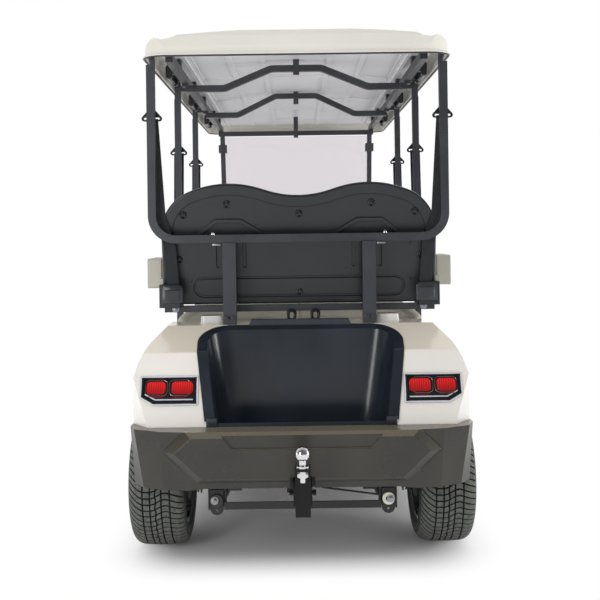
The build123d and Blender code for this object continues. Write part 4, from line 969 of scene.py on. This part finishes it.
def onRim(corner, radius, turn):  # where a line from outside meets this wheel's rim
    hub = wheelPlaces[corner] / mm
    side = math.copysign(1, hub.x)
    start = (side * 900, hub.y + radius * math.cos(turn), hub.z + radius * math.sin(turn))
    return landed("rim_" + corner, start, (-side, 0, 0))[0]


for corner in ("rear_left", "rear_right", "front_left", "front_right"):
    body = "wheel_" + corner
    hub = wheelPlaces[corner] / mm
    outward = Vector((math.copysign(1, hub.x), 0, 0))
    sunk = outward * wheelFittings["sunk"]
    face = onRim(corner, wheelFittings["capAt"], 0.0)
    spreadOut(hubCap, "hubCap_" + body, [((face.x - sunk.x, hub.y, hub.z), outward)], "rim_alloy", body)
    lugs = wheelFittings["lugs"]
    turns = [math.pi * (0.25 + 2 * lug / lugs) for lug in range(lugs)]
    nuts = [onRim(corner, wheelFittings["boltCircle"], turn) for turn in turns]
    nuts = [
        place - sunk for place in nuts
        if place is not None and abs(place.x) > wheelFittings["spokeReach"]]
    spreadOut(lugNut, "lugNuts_" + body, [(place, outward) for place in nuts], "chrome", body)
    inner, outer = wheelFittings["valveReach"]
    turns = [math.radians(turn) for turn in range(0, 360, wheelFittings["searchEvery"])]
    stems = [onRim(corner, wheelFittings["valveCircle"], turn) for turn in turns]
    stems = [place - sunk for place in stems if place is not None and inner < abs(place.x) < outer]
    spreadOut(valve, "valveStem_" + body, [(stems[0], outward)], "wheel_grip", body)
discard(hubCap, lugNut, valve)

print("front details")
headlamp = {"across": (392, 430, 468), "level": 660}
reflector = turned("reflector", [
    (0, 0), (15, 0), (15, 3.4), (14, 4.2), (12.6, 3.4), (11.5, 1.8), (8, 1.0), (7.5, 2.4), (4, 3.4),
    (0, 3.6)], 28)
spots = [landed("headlamp_housings", (side * across, 3000, headlamp["level"]), (0, -1, 0))
         for side in (-1, 1) for across in headlamp["across"]]
spreadOut(reflector, "headlampReflectors", [spot for spot in spots if spot[0] is not None], "chrome")
discard(reflector)

bonnetGap = {
    "route": [(470, 1390), (452, 1500), (430, 1620), (400, 1740), (330, 1775), (200, 1790), (0, 1795)],
    "steps": 4, "radius": 1.3,
}
route = [(-x, y) for x, y in bonnetGap["route"]] + bonnetGap["route"][-2::-1]
points = []
for (x0, y0), (x1, y1) in zip(route, route[1:]):
    for step in range(bonnetGap["steps"]):
        share = step / bonnetGap["steps"]
        x, y = x0 + (x1 - x0) * share, y0 + (y1 - y0) * share
        place, facing = landed("front_cowl", (x, y, 1400), (0, 0, -1))
        if place is not None:
            points.append(tuple(place))
dress(beading("bonnetGap", points, bonnetGap["radius"], False), "lamp_plastic", angle=60)

# horn cap on the steering wheel, and the gauge and key switch on the dashboard
columnAxis = Vector((0, -0.766, 0.643))
hub = Vector((-330, 960, 1130))
place, facing = landed("steering_wheel", hub + columnAxis * 300, -columnAxis)
cap = turned("hornCap", [
    (0, 0), (34, 0), (34, 3), (32, 5.5), (22, 8), (20.5, 7.2), (19, 8), (8, 9.4), (0, 9.6)], 36)
spreadOut(cap, "hornCap", [(place - columnAxis, columnAxis)], "lamp_plastic", "steering_wheel")
discard(cap)
gauge = turned("gauge", [(0, 0), (30, 0), (30, 4), (28, 7), (25, 7), (24, 3.5), (0, 3.5)], 36)
keySwitch = turned("keySwitch", [(0, 0), (13, 0), (13, 3), (11, 4.5), (6, 4.5), (6, 2.5), (0, 2.5)], 24)
dashFittings = {
    "chargeGauge": (gauge, -60, 900, "lamp_plastic"),  # master, across, level, finish
    "keySwitch": (keySwitch, -150, 880, "chrome"),
}
for name, (master, across, level, finish) in dashFittings.items():
    spreadOut(master, name, [landed("dashboard", (across, 900, level), (0, 1, 0))], finish)
    discard(master)


print("camera and studio")
# the camera stands 3 m behind the cart at chest height
cameraSetup = {
    "place": (-0.0145, -5.085, 1.231), "roll": 0.77,
    "focal": 919.0, "point": (295.1, 231.5),  # focal length and the level line of sight's pixel
    "frame": 600.0, "sensor": 36.0,
}
bpy.ops.object.camera_add(location=cameraSetup["place"])
rearCamera = bpy.context.object
rearCamera.rotation_euler = (math.pi / 2, math.radians(cameraSetup["roll"]), 0.0)
frameSize, (pointX, pointY) = cameraSetup["frame"], cameraSetup["point"]
rearCamera.data.sensor_width = cameraSetup["sensor"]
rearCamera.data.lens = cameraSetup["focal"] * cameraSetup["sensor"] / frameSize
rearCamera.data.shift_x = (frameSize / 2 - pointX) / frameSize
rearCamera.data.shift_y = (pointY - frameSize / 2) / frameSize
rearCamera.data.clip_end = 100.0
scene.camera = rearCamera

studio = {
    "skyLow": 0.42,  # the room's light on matt surfaces: at the horizon
    "skyHigh": 1.15,  # and straight overhead
    "mirrorNear": 0.16,  # what gloss sees behind the cart, where the room is dark
    "mirrorFar": 1.0,  # and past its front, where the white backdrop is
    "standing": (0.42, 1.5),  # half sizes of the ground in the cart's shade
    "fade": (0.05, 0.38),  # past that ground the floor goes from paper to white
    # name: place, aimed at, width, height, watts
    "lamps": {
        "rearLeft": ((-2.2, -4.8, 1.2), (0.0, -1.4, 0.8), 0.9, 2.4, 46.0),
        "rearRight": ((4.9, -2.1, 1.1), (0.2, -1.4, 0.8), 1.0, 2.2, 64.0),
        "lowLeft": ((-3.6, -0.6, 0.5), (0.0, -0.6, 1.8), 3.2, 0.7, 14.0),
        "lowRight": ((3.6, -0.6, 0.5), (0.0, -0.6, 1.8), 3.2, 0.7, 14.0),
        "frontFill": ((0.5, 6.5, 3.0), (0.0, 1.0, 0.8), 4.0, 3.0, 34.0),
    },
}
for name, (place, aim, width, height, watts) in studio["lamps"].items():
    bpy.ops.object.light_add(type="AREA", location=place)
    lamp = bpy.context.object
    lamp.name = name
    lamp.rotation_euler = (Vector(aim) - Vector(place)).to_track_quat("-Z", "Y").to_euler()
    lamp.data.shape = "RECTANGLE"
    lamp.data.size = width
    lamp.data.size_y = height
    lamp.data.energy = watts
    lamp.visible_transmission = False  # the windscreen shows the backdrop, not a lamp

clearSelection()
bpy.ops.mesh.primitive_plane_add(size=60, location=(0, 0, 0))
floorSheet = bpy.context.object
floorSheet.name = "studioFloor"
# matt paper floor: it keeps the cart's shadow, and past that it is as white as the backdrop
tree, inputs, place = newMaterial("floor", "mattFloorPaper", {"Roughness": 0.75, "Specular IOR Level": 0.2})
fibre = addNode(tree, "ShaderNodeTexNoise", {"Scale": 3.0, "Detail": 5.0}, {"Vector": place})
addNode(
    tree, "ShaderNodeMix", {"data_type": "RGBA", colourA: "#F4F4F4", colourB: "#F8F8F8"},
    {0: fibre.outputs["Fac"]}, inputs["Base Color"])
away = addNode(tree, "ShaderNodeVectorMath", {"operation": "ABSOLUTE"}, {0: place})
past = addNode(
    tree, "ShaderNodeVectorMath", {"operation": "SUBTRACT", 1: studio["standing"] + (0.0,)},
    {0: away.outputs[0]})
past = addNode(
    tree, "ShaderNodeVectorMath", {"operation": "MAXIMUM", 1: (0.0, 0.0, 0.0)}, {0: past.outputs[0]})
past = addNode(tree, "ShaderNodeVectorMath", {"operation": "LENGTH"}, {0: past.outputs[0]})
share = addNode(
    tree, "ShaderNodeMapRange",
    {"interpolation_type": "SMOOTHSTEP", "From Min": studio["fade"][0], "From Max": studio["fade"][1]},
    {"Value": past.outputs["Value"]})
ray, seen = seenDirectly(tree)
seen = addNode(tree, "ShaderNodeMath", {"operation": "MAXIMUM"}, {0: seen, 1: ray["Is Glossy Ray"]})
share = addNode(tree, "ShaderNodeMath", {"operation": "MULTIPLY"}, {0: share.outputs[0], 1: seen.outputs[0]})
paper = tree.nodes["Principled BSDF"]
white = addNode(tree, "ShaderNodeEmission", {"Color": "#FFFFFF", "Strength": 1.0})
mixed = addNode(
    tree, "ShaderNodeMixShader", None, {0: share.outputs[0], 1: paper.outputs[0], 2: white.outputs[0]})
beneath = addNode(tree, "ShaderNodeNewGeometry").outputs["Backfacing"]
clear = addNode(tree, "ShaderNodeBsdfTransparent")
addNode(  # the sheet has no underside, so the cart can be seen from below
    tree, "ShaderNodeMixShader", None, {0: beneath, 1: mixed.outputs[0], 2: clear.outputs[0]},
    tree.nodes["Material Output"].inputs["Surface"])
floorSheet.data.materials.append(materials["floor"])

world = bpy.data.worlds.new("paleStudio")
scene.world = world
world.use_nodes = True
tree = world.node_tree
heading = addNode(tree, "ShaderNodeTexCoord").outputs["Generated"]
heading = addNode(tree, "ShaderNodeSeparateXYZ", None, {0: heading})
sky = addNode(
    tree, "ShaderNodeMapRange", {"To Min": studio["skyLow"], "To Max": studio["skyHigh"]},
    {"Value": heading.outputs["Z"]})
mirror = addNode(
    tree, "ShaderNodeMapRange",
    {"From Min": -0.4, "From Max": 0.5, "To Min": studio["mirrorNear"], "To Max": studio["mirrorFar"]},
    {"Value": heading.outputs["Y"]})
ray, seen = seenDirectly(tree)
level = addNode(
    tree, "ShaderNodeMix", {"data_type": "FLOAT"},
    {0: ray["Is Glossy Ray"], 2: sky.outputs["Result"], 3: mirror.outputs["Result"]})
background = tree.nodes["Background"].inputs
background["Color"].default_value = linear("#FFFFFF")
addNode(
    tree, "ShaderNodeMix", {"data_type": "FLOAT", 3: 1.0}, {0: seen, 2: level.outputs[0]},
    background["Strength"])

scene.view_settings.view_transform = "Standard"
